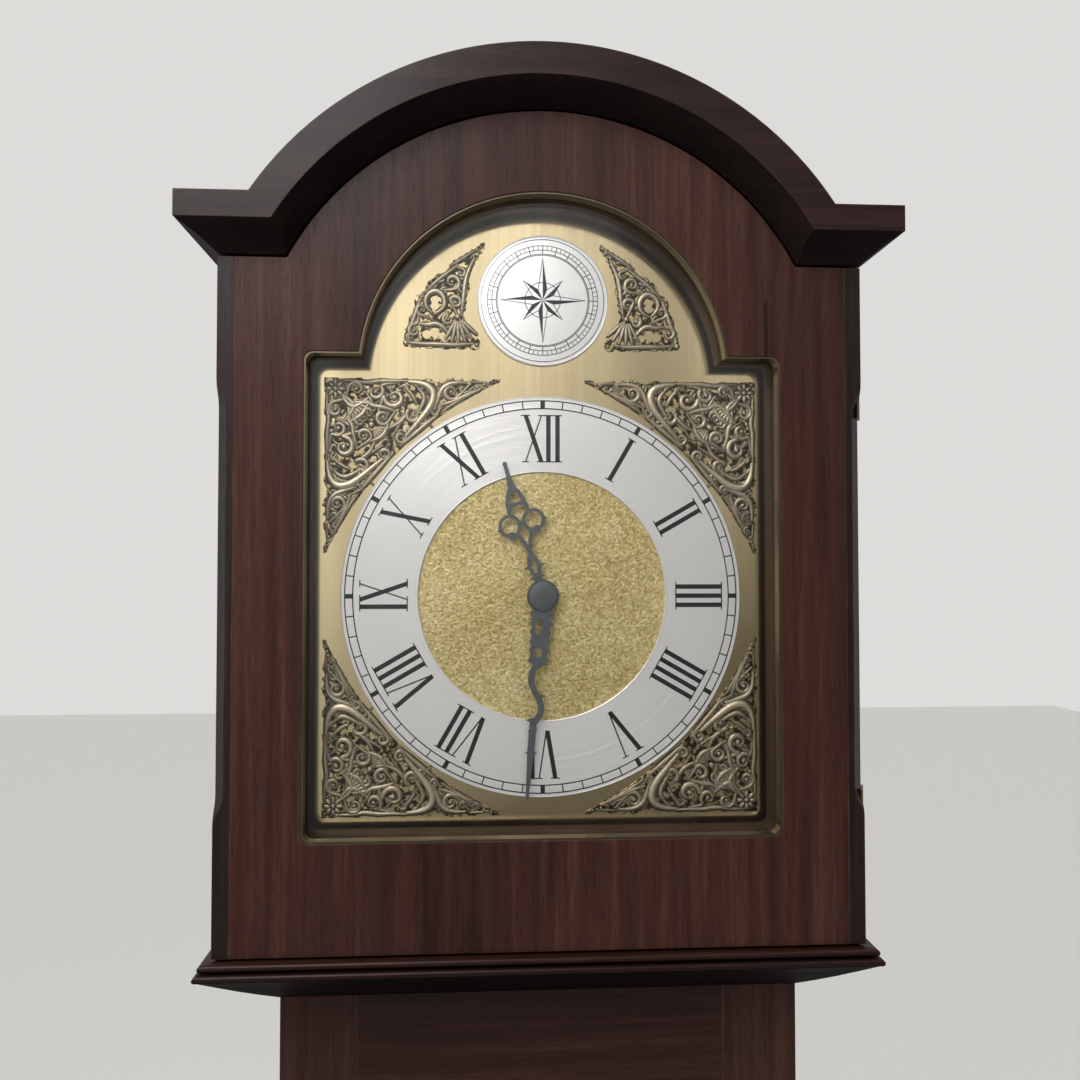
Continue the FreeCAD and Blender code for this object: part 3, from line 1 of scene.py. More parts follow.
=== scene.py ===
# %% [markdown]
# A break-arch grandmother clock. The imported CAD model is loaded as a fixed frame, its solids
# keep their places, and this script adds the finishes and the finer pieces: the engraved
# dial, the cast corner ornament, the neck moulding and the light to see them by.

# %% Load the frame
import math
from contextlib import contextmanager

import bpy
from mathutils import Matrix, Vector


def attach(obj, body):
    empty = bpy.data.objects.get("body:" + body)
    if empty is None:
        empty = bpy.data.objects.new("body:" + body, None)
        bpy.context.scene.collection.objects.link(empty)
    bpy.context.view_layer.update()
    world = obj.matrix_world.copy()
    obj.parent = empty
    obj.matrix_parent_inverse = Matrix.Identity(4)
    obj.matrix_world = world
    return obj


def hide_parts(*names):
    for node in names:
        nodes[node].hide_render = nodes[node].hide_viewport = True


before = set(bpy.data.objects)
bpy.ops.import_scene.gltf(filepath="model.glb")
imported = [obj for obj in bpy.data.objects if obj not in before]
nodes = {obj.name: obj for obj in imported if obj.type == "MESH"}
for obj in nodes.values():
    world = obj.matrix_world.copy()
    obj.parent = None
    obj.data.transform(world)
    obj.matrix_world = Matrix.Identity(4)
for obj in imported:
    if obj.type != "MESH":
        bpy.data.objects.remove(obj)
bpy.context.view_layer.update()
bpy.ops.object.select_all(action="DESELECT")

# %% [markdown]
# The camera stands half a metre in front of the dial, a little to the left and just above
# its middle, and is turned slightly to the right. A short lens that close gives the strong
# perspective of a hand-held shot: the near crown looks large and the trunk falls away.

# %% Camera
dial = Vector((0.0, -0.0695, 1.472))
looks_up, looks_right = math.radians(1.56), math.radians(3.41)
camera_data = bpy.data.cameras.new("camera")
camera_data.sensor_width = 36.0
camera_data.lens = 31.0
camera_data.clip_start = 0.01
camera = bpy.data.objects.new("camera", camera_data)
bpy.context.scene.collection.objects.link(camera)
camera.location = (-0.0309, -0.5656, 1.4883)
camera.rotation_euler = (math.radians(90) + looks_up, 0, -looks_right)
bpy.context.scene.camera = camera
bpy.context.scene.view_settings.view_transform = "Standard"
print("camera is", round((camera.location - dial).length, 3), "m from the dial")

# %% [markdown]
# The light is a plain soft studio set: one large lamp high on the left, a weaker one on the
# right, and a surround that is graded from a pale top to a duller foot. Metal shows whatever
# stands in front of it, so a graded surround is what makes the brass bright at the top and
# deep at the bottom. The floor ends three metres before the clock for the same reason.

# %% Floor and lamps
bpy.ops.mesh.primitive_plane_add(size=12, location=(0, 3.0, 0))
floor = bpy.context.active_object
floor.name = "floor"


def lamp(name, place, aim, size, power):
    data = bpy.data.lights.new(name, "AREA")
    data.size = size
    data.energy = power
    made = bpy.data.objects.new(name, data)
    bpy.context.scene.collection.objects.link(made)
    made.location = place
    turn = (Vector(aim) - Vector(place)).to_track_quat("-Z", "Y")
    made.rotation_euler = turn.to_euler()
    print(name, power, "W,", size, "m across")


lamp("main_lamp", (-0.43, -0.8, 2.3), dial, 0.75, 15.5)
lamp("side_lamp", (1.8, -1.2, 1.6), dial, 1.2, 4)

# %% [markdown]
# Shader maths reads better as Python than as a tangle of nodes. This small class wraps one
# socket. Adding or multiplying it makes the Math node, and its node method makes any other
# kind of node from its settings and the values of its sockets.

# %% Nodes as expressions
class Flow:
    def __init__(self, tree, socket):
        self.tree = tree
        self.socket = socket

    def node(self, kind, settings=None, values=None, out=0):
        made = self.tree.nodes.new(kind)
        for name, value in (settings or {}).items():
            if name == "stops":
                for index, (place, colour) in enumerate(value):
                    stops = made.color_ramp.elements
                    stop = stops[index] if index < len(stops) else stops.new(place)
                    stop.position = place
                    stop.color = (*colour, 1.0)
            else:
                setattr(made, name, value)
        for key, value in (values or {}).items():
            if isinstance(value, Flow):
                self.tree.links.new(value.socket, made.inputs[key])
            else:
                made.inputs[key].default_value = value
        return Flow(self.tree, made.outputs[out])

    def maths(self, operation, *others):
        return self.node("ShaderNodeMath", {"operation": operation},
                         dict(enumerate((self, *others))))

    def __add__(self, other):
        return self.maths("ADD", other)

    __radd__ = __add__

    def __sub__(self, other):
        return self.maths("SUBTRACT", other)

    def __rsub__(self, other):
        return self.node("ShaderNodeMath", {"operation": "SUBTRACT"}, {0: other, 1: self})

    def __mul__(self, other):
        return self.maths("MULTIPLY", other)

    __rmul__ = __mul__

    def __truediv__(self, other):
        return self.maths("DIVIDE", other)


# %% [markdown]
# Every finish starts the same way: a Principled shader whose plain numbers are set on its
# own sockets, and the piece's Object coordinates, which stay put when the piece moves.

# %% Start of a finish
def finish(name, **plain):
    made = bpy.data.materials.new(name)
    made.use_nodes = True
    tree = made.node_tree
    shader = tree.nodes["Principled BSDF"]
    for key, value in plain.items():
        shader.inputs[key.replace("_", " ")].default_value = value
    place = Flow(tree, tree.nodes.new("ShaderNodeTexCoord").outputs["Object"])
    return made, shader, place


def feed(shader, **links):
    for key, flow in links.items():
        flow.tree.links.new(flow.socket, shader.inputs[key.replace("_", " ")])


def stretched(place, scale, offset=(0, 0, 0)):
    return place.node("ShaderNodeMapping", None, {
        "Vector": place, "Scale": scale, "Location": offset})


def noise(place, scale=1.0, detail=4.0, rough=0.55, twist=0.0):
    return place.node("ShaderNodeTexNoise", None, {
        "Vector": place, "Scale": scale, "Detail": detail, "Roughness": rough,
        "Distortion": twist})


def ramp(flow, *stops):
    return flow.node("ShaderNodeValToRGB", {"stops": stops}, {0: flow})


def mixed(share, first, second):
    source = next(flow for flow in (share, first, second) if isinstance(flow, Flow))
    return source.node("ShaderNodeMix", {"data_type": "RGBA"},
                       {0: share, 6: first, 7: second}, out=2)


def bumped(height, strength, distance, over=None):
    values = {"Height": height, "Strength": strength, "Distance": distance}
    if over:
        values["Normal"] = over
    return height.node("ShaderNodeBump", None, values)


def between(flow, low, high):
    return flow.node("ShaderNodeMapRange", {"clamp": True}, {
        "Value": flow, "From Min": low, "From Max": high})


# %% [markdown]
# Mahogany veneer is dark red-brown. Three things make it: broad soft bands where the figure
# comes and goes, narrow streaks along the grain, and short dark pores. Each is the same
# noise, stretched along the grain by a different amount. The grain's direction is given,
# because boards and rails run different ways, and a tone makes one board darker.
# A Bevel node finds the corners: it softens them for the light, and where it turns the
# surface most the polish is rubbed thin, so the edge is paler, but only here and there.
# In coves and hollows, and on undersides that face down, the colour is painted darker:
# painted shade where less light falls, so a moulding is darkest in its coves and below.
# A board may also carry one check, a short dark split along the grain.

# %% Mahogany
worn_brown = (0.115, 0.06, 0.047, 1)


def squeeze(along, across, length):
    return tuple(length if axis == along else across for axis in "xyz")


def rounded(place, radius):
    return place.node("ShaderNodeBevel", {"samples": 4}, {"Radius": radius})


def edge_of(place, radius):
    straight = place.node("ShaderNodeNewGeometry", out=1)
    soft = rounded(place, radius)
    facing = place.node("ShaderNodeVectorMath", {"operation": "DOT_PRODUCT"},
                        {0: straight, 1: soft}, out=1)
    return between(1 - facing, 0.015, 0.16)


def split_up(place):
    made = place.node("ShaderNodeSeparateXYZ", None, {0: place}).socket.node
    return [Flow(place.tree, made.outputs[axis]) for axis in "XYZ"]


# Painted shade: a mask that is high where ambient occlusion finds a hollow, and on faces turned
# downwards.
def hollows(place, deep=0.03):
    open_air = place.node("ShaderNodeAmbientOcclusion", {"samples": 6, "only_local": True},
                          {"Distance": deep}, out=1)
    upward = split_up(place.node("ShaderNodeNewGeometry", out=1))[2]
    below = between(upward * -1.0, 0.15, 0.5)
    return between(1 - open_air, 0.16, 0.62).maths("MAXIMUM", below)


def check_in(place, x, foot, head):
    across, _, up = split_up(place)
    half = (head - foot) / 2
    wander = noise(stretched(place, (0, 0, 60)), detail=2) * 0.0016
    beside = between((across + wander - 0.0008 - x).maths("ABSOLUTE"), 0.0005, 0.0015)
    past = between((up - (foot + head) / 2).maths("ABSOLUTE"), half - 0.004, half)
    return (1 - beside) * (1 - past)


def mahogany(name, along, tone=1.0, offset=(0, 0, 0), coat=0.055, rough=0.34, painted_shade=0.0,
             check=None, tint=(1.0, 1.0, 1.0), shine=0.14):
    made, shader, place = finish(
        name, Coat_Weight=coat, Coat_Roughness=0.22, Specular_IOR_Level=shine)
    bands = noise(stretched(place, squeeze(along, 7, 0.7), offset), detail=3, twist=0.4)
    streaks = noise(stretched(place, squeeze(along, 150, 5.0), offset), 1.0, 5, 0.55, 0.5)
    fine = noise(stretched(place, squeeze(along, 560, 26), offset), 1.0, 3, 0.6, 0.3)
    pores = noise(stretched(place, squeeze(along, 1500, 105), offset), detail=2, rough=0.5)
    figure = bands * 0.5 + streaks * 0.36 + fine * 0.14
    browns = (0.026, 0.0088, 0.0062), (0.062, 0.0205, 0.0145), (0.125, 0.050, 0.036)
    # A tint other than white cools the browns, a painted grey sheen of the polish.
    toned = [[c * t * tone for c, t in zip(brown, tint)] for brown in browns]
    wood = ramp(figure, *zip((0.37, 0.5, 0.64), toned))
    pore = between(pores, 0.56, 0.66)
    pore_and_shade_ink = (0.008 * tone, 0.003 * tone, 0.0024 * tone, 1)
    colour = mixed(pore * 0.44, wood, pore_and_shade_ink)
    scuffs = between(noise(place, 38, 4), 0.46, 0.68)
    worn = edge_of(place, 0.0011) * (0.22 + 0.6 * scuffs)
    colour = mixed(worn, colour, worn_brown)
    dull = rough + 0.12 * fine + 0.12 * pore + 0.1 * worn
    if painted_shade:
        # Painted shade: the mask darkens the colour in hollows and on undersides.
        shade_mask = hollows(place)
        colour = mixed(shade_mask * painted_shade, colour, pore_and_shade_ink)
        feed(shader, Coat_Weight=coat * (1 - shade_mask))
        dull = dull + 0.3 * shade_mask
    if check:
        colour = mixed(check_in(place, *check) * 0.9, colour, pore_and_shade_ink)
    height = streaks * 0.25 + fine * 0.3 - pore * 0.6
    relief = bumped(height, 0.3, 0.00014, over=rounded(place, 0.0009))
    feed(shader, Base_Color=colour, Roughness=dull, Normal=relief)
    return made


check_x, check_foot, check_head = 0.1153, 1.592, 1.628
door_wood = mahogany("mahogany_door", "z", 0.63, check=(check_x, check_foot, check_head))
side_wood = mahogany("mahogany_side", "z", 0.58, (3.1, 1.7, 0.4))
# The lipping's and the crown's cool tints are painted grey sheen.
lipping_wood = mahogany("mahogany_lipping", "z", 0.17, (7.3, 2.2, 1.1), coat=0.12,
                        tint=(1.0, 1.5, 2.0))
trunk_wood = mahogany("mahogany_trunk", "z", 0.38, (4.7, 5.2, 3.9))
rail_wood = mahogany("mahogany_rail", "x", 0.38, (1.9, 4.4, 2.6))
crown_wood = mahogany("mahogany_crown", "x", 0.155, (5.2, 0.8, 3.3), coat=0.13, rough=0.36,
                      painted_shade=0.62, tint=(1.25, 1.4, 1.8), shine=0.1)
moulding_wood = mahogany("mahogany_moulding", "x", 0.28, (2.4, 6.1, 0.9), coat=0.14,
                         painted_shade=0.88, shine=0.05)
roof_wood = mahogany("mahogany_roof", "y", 0.6, (0.6, 3.9, 5.5), coat=0.08, rough=0.45)
print("mahogany in", len([m for m in bpy.data.materials if "mahogany" in m.name]), "tones")

# %% [markdown]
# Where nobody looks the maker saved money: the backboard is plain pale ply, the seatboard
# is plain beech, and the mask behind the door is stained a dull dark brown so that it
# stays unseen.

# %% Inner woods
def plain_wood(name, along, light, dark, rough=0.62, grain=0.4):
    made, shader, place = finish(name, Specular_IOR_Level=0.15)
    rings = noise(stretched(place, squeeze(along, 26, 1.6)), detail=4, twist=0.8)
    fibres = noise(stretched(place, squeeze(along, 480, 9)), detail=4)
    colour = ramp(rings * (1 - grain) + fibres * grain, (0.36, dark), (0.66, light))
    feed(shader, Base_Color=colour, Roughness=rough + 0.15 * fibres,
         Normal=bumped(fibres, grain * 0.5, 0.0001))
    return made


back_wood = plain_wood("plain_ply", "z", (0.36, 0.22, 0.12), (0.22, 0.12, 0.06))
seat_wood = plain_wood("plain_beech", "x", (0.42, 0.27, 0.15), (0.27, 0.155, 0.08))
mask_wood = plain_wood("stained_mask", "z", (0.095, 0.058, 0.04), (0.056, 0.033, 0.023),
                       rough=0.7, grain=0.05)

# %% [markdown]
# The dial plate is brass, brushed up and down and then lacquered. Real brushing is a mass of
# fine scratches, so the bump is noise stretched very long in one direction. Broader stripes
# vary the roughness, and darken the tint in soft upright bands, which are painted reflections.

# %% Brushed and polished brass
def brass(name, colour, dull, rough, along=None, spots=0.25):
    made, shader, place = finish(name, Metallic=1.0)
    cloud = noise(place, 22, 4)
    tint = mixed(between(cloud, 0.35, 0.75) * spots, (*colour, 1), (*dull, 1))
    if along:
        scratches = noise(stretched(place, squeeze(along, 1300, 7)), detail=1, rough=0.5)
        stripes = noise(stretched(place, squeeze(along, 34, 0.5)), detail=2)
        hairs = noise(stretched(place, squeeze(along, 420, 1.5)), detail=2)
        band = between(stripes * 0.7 + hairs * 0.3, 0.38, 0.66)
        # The band darkens the tint in upright stripes: painted reflections.
        tint = mixed(band * 0.7, tint, (*dull, 1))
        feed(shader, Roughness=rough + 0.1 * band, Base_Color=tint,
             Normal=bumped(scratches, 0.05, 0.00003))
    else:
        fine = noise(place, 260, 3)
        feed(shader, Roughness=rough + 0.12 * cloud, Base_Color=tint,
             Normal=bumped(fine, 0.15, 0.00003))
    return made


dial_brass = brass("brushed_brass", (0.97, 0.80, 0.47), (0.70, 0.57, 0.34), 0.07, "z")
plate_brass = brass("movement_brass", (0.76, 0.56, 0.26), (0.55, 0.38, 0.15), 0.2)
fitting_brass = brass("bronzed_fitting", (0.16, 0.105, 0.05), (0.07, 0.045, 0.022), 0.36)
slip_brass = brass("bronzed_slip", (0.14, 0.115, 0.078), (0.055, 0.045, 0.03), 0.3, spots=0.6)
knob_brass = brass("lacquered_knob", (0.66, 0.47, 0.21), (0.34, 0.22, 0.09), 0.26)
weight_brass = brass("polished_case", (0.78, 0.58, 0.27), (0.6, 0.42, 0.17), 0.14)
steel = brass("plain_steel", (0.45, 0.45, 0.46), (0.3, 0.29, 0.29), 0.28)

# %% [markdown]
# The weight's chain is bent from wire, link through link. In the CAD it is a plain cord of the
# chain's width, so the links are shown by the finish: every second one is seen edge on, and
# the gaps between them are painted dark, painted shade where one link meets the next.

# %% Chain
link_pair = 0.0085
chain_brass, shader, place = finish("brass_chain", Metallic=1.0)
turn = (split_up(place)[2] * (2 * math.pi / link_pair)).maths("SINE")
link_vs_gap_shade = between(turn.maths("ABSOLUTE"), 0.05, 0.4)
# Dark bands at the joints are painted shade between the links.
colour = mixed(link_vs_gap_shade, (0.03, 0.02, 0.008, 1), (0.62, 0.43, 0.18, 1))
feed(shader, Base_Color=colour, Roughness=0.46 - 0.18 * link_vs_gap_shade, Normal=bumped(link_vs_gap_shade, 1.0, 0.0006))

# %% [markdown]
# The middle of the dial is matted: punched all over with a fine tool, then gilded. The
# marks touch and overlap, so no single one can be made out. Two noises do it, one at the
# size of the punch and one finer. They drive a strong bump, and they also paint the colour:
# pale on the raised grain and dark in the pits, which is painted glint and painted shade.

# %% Matted gilt
matted, shader, place = finish("matted_gilt", Metallic=1.0)
grain = noise(place, 720, 2, 0.6)
speckle = noise(place, 2200, 2, 0.6)
drift = noise(place, 26, 2)
relief = grain * 0.65 + speckle * 0.35
# The colour follows the relief: painted glints on the high points, painted shade in the pits.
tone = between(relief + drift * 0.2, 0.42, 0.82)
glint_and_shade_gold = ramp(tone, (0.0, (0.34, 0.25, 0.08)), (0.5, (0.70, 0.56, 0.25)),
            (1.0, (1.0, 0.90, 0.60)))
feed(shader, Base_Color=glint_and_shade_gold, Roughness=0.36 + 0.12 * speckle,
     Normal=bumped(relief, 1.0, 0.0009))

# %% [markdown]
# The chapter ring is silvered brass, rubbed round and round. Silvering is a white powdery
# coat, so it is only partly a mirror. Each rubbed line is a tiny ridge that runs round the
# centre, so it throws light out along the radius, and the ring shows a bright fan towards
# the lamp. The lines are noise read along the radius, which is the distance from the
# dial's centre in the plane of the ring.

# %% Silvered ring
silvered, shader, place = finish("silvered_ring", Metallic=0.5)
centred = stretched(place, (1, 0, 1), (0, 0, -dial.z))
radius = place.node("ShaderNodeVectorMath", {"operation": "LENGTH"}, {0: centred}, out=1)
along_radius = place.node("ShaderNodeCombineXYZ", None, {"X": radius})
rubbed = noise(along_radius, 2400, 2, 0.6)
patches = noise(place, 14, 3)
silver = mixed(between(patches, 0.3, 0.8), (0.96, 0.945, 0.94, 1), (0.87, 0.85, 0.845, 1))
feed(shader, Base_Color=silver, Roughness=0.27 + 0.08 * patches,
     Normal=bumped(rubbed, 0.7, 0.00022))

# %% [markdown]
# The cast ornament is brass toned nearly black and rubbed back, so the hollows stay dark and
# the high edges shine. What stands proud of the dial plate is what the cloth reached, so
# the rubbing follows the height above the plate. The thin ground between the scrolls is gilt
# where it was left open and dark in the rest, partly where toner stayed and partly as painted
# shade between the crowded scrolls. The hands are steel, filed round at the edges, which the Bevel
# node shows without touching the mesh.

# %% Antique casting, slate steel, wax and glass
low_relief, high_relief = 0.0007, 0.0027
antique, shader, place = finish("antique_casting", Metallic=1.0)
forward = split_up(place)[1] * -1.0
proud = between(forward, -dial.y + low_relief, -dial.y + high_relief)
mottle = noise(place, 420, 4, 0.6)
rub = between(proud + mottle * 0.5, 0.3, 1.2)
bronze = ramp(rub, (0.0, (0.026, 0.020, 0.012)), (0.4, (0.25, 0.21, 0.145)),
              (1.0, (0.64, 0.55, 0.40)))
feed(shader, Base_Color=bronze, Roughness=0.54 - 0.14 * rub,
     Normal=bumped(mottle, 0.4, 0.00025))

ground, shader, place = finish("gilt_ground", Metallic=1.0)
# The dark share of the ground is partly toner and partly painted shade between the scrolls.
patch = between(noise(place, 340, 2, 0.5), 0.47, 0.6)
feed(shader, Base_Color=mixed(patch, (0.03, 0.024, 0.015, 1), (0.62, 0.49, 0.26, 1)),
     Roughness=0.5 - 0.2 * patch)

slate, shader, place = finish("slate_steel", Metallic=0.55)
speck = noise(place, 300, 3)
filed = bumped(speck, 0.12, 0.0001, over=rounded(place, 0.0003))
feed(shader, Base_Color=mixed(speck, (0.085, 0.093, 0.105, 1), (0.15, 0.16, 0.172, 1)),
     Roughness=0.4 + 0.15 * speck, Normal=filed)

wax, shader, place = finish("black_wax", Specular_IOR_Level=0.3)
speck = noise(place, 900, 2)
feed(shader, Base_Color=mixed(speck, (0.007, 0.008, 0.009, 1), (0.022, 0.023, 0.024, 1)),
     Roughness=0.5 + 0.2 * speck)

glass, shader, place = finish("clear_glass", Metallic=1.0, Roughness=0.02)
smear = between(noise(place, 9, 3), 0.35, 0.75)
facing = place.node("ShaderNodeFresnel", None, {"IOR": 1.35})
feed(shader, Base_Color=mixed(smear, (0.88, 0.93, 0.92, 1), (0.97, 0.98, 0.98, 1)),
     Alpha=facing * 0.9 + smear * 0.012)

# %% [markdown]
# Each CAD node that keeps its own shape now takes its finish. Its mesh and its place are
# never touched, only the material in its slot.

# %% Finish of every CAD node
def coat(finish_used, *names):
    for name in names:
        mesh = nodes[name].data
        mesh.materials.clear()
        mesh.materials.append(finish_used)


coat(door_wood, "hood_door")
coat(trunk_wood, "trunk_door", "plinth_front", "trunk_stile_left", "trunk_stile_right")
coat(side_wood, "hood_side_left", "hood_side_right", "trunk_side_left", "trunk_side_right",
     "plinth_side_left", "plinth_side_right")
coat(lipping_wood, "hood_lipping_left", "hood_lipping_right")
coat(rail_wood, "trunk_rails")
coat(crown_wood, "crown")
coat(moulding_wood, "neck_moulding", "plinth_moulding", "skirting")
coat(roof_wood, "hood_roof")
coat(back_wood, "backboard", "plinth_floor")
coat(seat_wood, "seatboard")
coat(mask_wood, "dial_mask")
coat(dial_brass, "dial_plate")
coat(matted, "dial_centre")
coat(silvered, "chapter_ring", "boss")
coat(ground, "spandrel_upper_right", "spandrel_lower_right", "spandrel_lower_left",
     "spandrel_upper_left", "arch_spandrels")
coat(plate_brass, "front_plate", "back_plate", "back_cock", "great_wheel", "sprocket",
     "centre_arbor", "third_arbor", "escape_arbor", "hour_wheel", "minute_wheel")
coat(chain_brass, "chain_bend", "chain_weight_run", "chain_free_run", "chain_ring")
coat(steel, "pallets", "pendulum")
coat(fitting_brass, "hinges_fixed", "hood_hinges_moving", "trunk_hinges_moving")
coat(knob_brass, "trunk_catch")
coat(slip_brass, "hood_slip")
coat(weight_brass, "weight", "bob", "rating_nut")
coat(slate, "minute_hand", "hour_hand", "cannon_pinion")
coat(glass, "hood_glass")
bare = [name for name in nodes if nodes[name].data.materials[0] is None]
print("nodes without a finish:", bare)

# %% [markdown]
# Behind the clock the surround is an even pale grey, and that is all the camera sees of it
# from any side. In front of the clock, where the metal and the polish look, it runs from
# white above and to the left down to a dull grey below and to the right. It is hung with
# soft upright strips, which a flat brass plate shows as upright bands.

# %% Floor and surround
stone, shader, place = finish("pale_floor", Roughness=0.9)
grit = noise(place, 55, 3)
feed(shader, Base_Color=mixed(grit, (0.70, 0.69, 0.67, 1), (0.74, 0.73, 0.71, 1)))
floor.data.materials.append(stone)
world = bpy.data.worlds.new("surround")
bpy.context.scene.world = world
world.use_nodes = True
surround = world.node_tree.nodes["Background"]
directions = world.node_tree.nodes.new("ShaderNodeTexCoord")
sky = Flow(world.node_tree, directions.outputs["Generated"])
sideways, inward, upward = split_up(sky)
graded = between(upward * 1.5 - sideways * 1.05, -0.42, 0.62)
seen = sky.node("ShaderNodeLightPath")
behind = between(inward, -0.25, 0.35).maths("MAXIMUM", seen)
ahead = ramp(graded, (0.0, (0.12, 0.115, 0.105)), (0.45, (0.54, 0.53, 0.51)),
             (0.9, (1.2, 1.19, 1.17)))
bearing = sideways / (inward.maths("ABSOLUTE") + 0.05)
strips = noise(bearing.node("ShaderNodeCombineXYZ", None, {"X": bearing}), 9.0, 1, 0.5)
dim = between(strips, 0.46, 0.6) * 0.6
ahead = mixed(dim, ahead, (0.16, 0.165, 0.16, 1))
shade = mixed(behind, ahead, (0.72, 0.715, 0.70, 1))
sky.tree.links.new(shade.socket, surround.inputs["Color"])
surround.inputs["Strength"].default_value = 1.0
print("surround graded")

# %% [markdown]
# New pieces are modelled by hand-like steps: a primitive is added, pushed about in edit
# mode, and its place is then baked into its mesh. These few helpers hold the steps that
# every piece needs. An operator works on whatever is selected, so the first thing is
# always to select nothing, and edit mode is opened with the whole piece selected.

# %% Helpers for modelling
same_point = 0.000005


def alone(piece):
    bpy.ops.object.select_all(action="DESELECT")
    piece.select_set(True)
    bpy.context.view_layer.objects.active = piece
    return piece


def settle(piece):
    alone(piece)
    bpy.ops.object.transform_apply(location=True, rotation=True, scale=True)
    return piece


def copied(piece, name, matrix=None):
    twin = piece.copy()
    twin.data = piece.data.copy()
    twin.name = name
    bpy.context.scene.collection.objects.link(twin)
    if matrix is not None:
        twin.matrix_world = matrix
    return settle(twin)


def joined(name, made):
    bpy.ops.object.select_all(action="DESELECT")
    for piece in made:
        piece.select_set(True)
    bpy.context.view_layer.objects.active = made[0]
    if len(made) > 1:
        bpy.ops.object.join()
    made[0].name = name
    return made[0]


def modified(piece, kind, **settings):
    alone(piece)
    step = piece.modifiers.new(kind.lower(), kind)
    for key, value in settings.items():
        setattr(step, key, value)
    bpy.ops.object.modifier_apply(modifier=step.name)
    return piece


def smooth(piece, angle):
    alone(piece)
    bpy.ops.object.shade_smooth_by_angle(angle=math.radians(angle))
    return piece


@contextmanager
def editing(piece):
    alone(piece)
    bpy.ops.object.mode_set(mode="EDIT")
    bpy.ops.mesh.select_all(action="SELECT")
    yield
    bpy.ops.object.mode_set(mode="OBJECT")


def outward(piece):
    with editing(piece):
        bpy.ops.mesh.remove_doubles(threshold=same_point)
        bpy.ops.mesh.normals_make_consistent(inside=False)
    return piece


def dressed(piece, finish_used, body, stands_for=()):
    piece.data.materials.clear()
    piece.data.materials.append(finish_used)
    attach(piece, body)
    if stands_for:
        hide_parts(*stands_for)
    print(piece.name, len(piece.data.polygons), "faces")
    return piece


# %% [markdown]
# A numeral on an engraved ring is cut with two tools, a broad one and a hairline, and each
# stroke ends in a fine cross stroke. A stroke is a thin bar whose upper end is pushed
# sideways, so a leaning stroke still ends level. The bars stand a few hundredths of a
# millimetre out of the silver, like the wax that fills the cuts.

# %% Strokes
mm = 0.001
ring_face = dial.y - 1.5 * mm
wax_depth = 0.12 * mm
thick_stroke, hair_stroke, serif_height = 2.4 * mm, 0.75 * mm, 0.6 * mm
numeral_foot, numeral_top = 71.3 * mm, 96.7 * mm
numeral_height = numeral_top - numeral_foot


def stroke(foot_x, top_x, foot_z, top_z, width):
    middle = (foot_z + top_z) / 2
    bpy.ops.mesh.primitive_cube_add(size=1, location=(foot_x, 0, middle))
    bar = bpy.context.active_object
    bar.scale = (width, wax_depth, top_z - foot_z)
    settle(bar)
    for vertex in bar.data.vertices:
        vertex.select = vertex.co.z > middle
    for group in (bar.data.edges, bar.data.polygons):
        for item in group:
            item.select = False
    bpy.ops.object.mode_set(mode="EDIT")
    bpy.ops.transform.translate(value=(top_x - foot_x, 0, 0))
    bpy.ops.object.mode_set(mode="OBJECT")
    return bar


def cross(x, z, width):
    return stroke(x, x, z - serif_height / 2, z + serif_height / 2, width)


# %% [markdown]
# Three letters make all twelve numerals. Each is modelled once: I, V with its broad stroke
# on the left, and X with its broad stroke falling to the right. Copies are set side by side
# and the row is turned about the dial's centre, feet inward.

# %% The letters I, V and X
low, high = -numeral_height / 2, numeral_height / 2
foot, head = low + serif_height / 2, high - serif_height / 2
lean = 4.3 * mm
serif, short_serif = 5.0 * mm, 3.6 * mm
letter_i = joined("letter_i", [
    stroke(0, 0, low, high, thick_stroke), cross(0, foot, serif), cross(0, head, serif)])
letter_v = joined("letter_v", [
    stroke(0, -lean, low, high, thick_stroke), stroke(0.5 * mm, lean, low, high, hair_stroke),
    cross(-lean, head, serif), cross(lean, head, short_serif)])
letter_x = joined("letter_x", [
    stroke(lean, -lean, low, high, thick_stroke), stroke(-lean, lean, low, high, hair_stroke),
    cross(-lean, head, serif), cross(lean, head, short_serif),
    cross(-lean, foot, short_serif), cross(lean, foot, serif)])
letters = {"I": (letter_i, 4.9 * mm), "V": (letter_v, 11.0 * mm), "X": (letter_x, 11.0 * mm)}
hours = ("XII", "I", "II", "III", "IIII", "V", "VI", "VII", "VIII", "IX", "X", "XI")


def about_dial(angle, y):
    return Matrix.Translation((dial.x, y, dial.z)) @ Matrix.Rotation(angle, 4, "Y")


# %% Twelve numerals
numerals = []
for hour, word in enumerate(hours):
    width = sum(letters[letter][1] for letter in word)
    left = -width / 2
    for letter in word:
        shape, advance = letters[letter]
        middle = Matrix.Translation((left + advance / 2, 0, (numeral_foot + numeral_top) / 2))
        turn = about_dial(math.radians(30 * hour), ring_face)
        numerals.append(copied(shape, "letter", turn @ middle))
        left += advance
for shape, advance in letters.values():
    bpy.data.objects.remove(shape)
dressed(joined("numerals", numerals), wax, "case")

# %% [markdown]
# The minute track is two hairline circles with a line across them at each minute and a
# solid block at each fifth. A circle is drawn, extruded and drawn in, which leaves a flat
# hoop, and Solidify gives it the same depth as the numerals.

# %% Minute track
def hoop(name, inner, outer, depth, y, sides=192):
    bpy.ops.mesh.primitive_circle_add(vertices=sides, radius=outer, fill_type="NOTHING")
    ring = bpy.context.active_object
    ring.name = name
    with editing(ring):
        bpy.ops.mesh.extrude_region_move()
        bpy.ops.transform.resize(value=(inner / outer, inner / outer, 1))
    modified(ring, "SOLIDIFY", thickness=depth, offset=0)
    ring.rotation_euler = (math.radians(90), 0, 0)
    ring.location = (dial.x, y, dial.z)
    return outward(settle(ring))


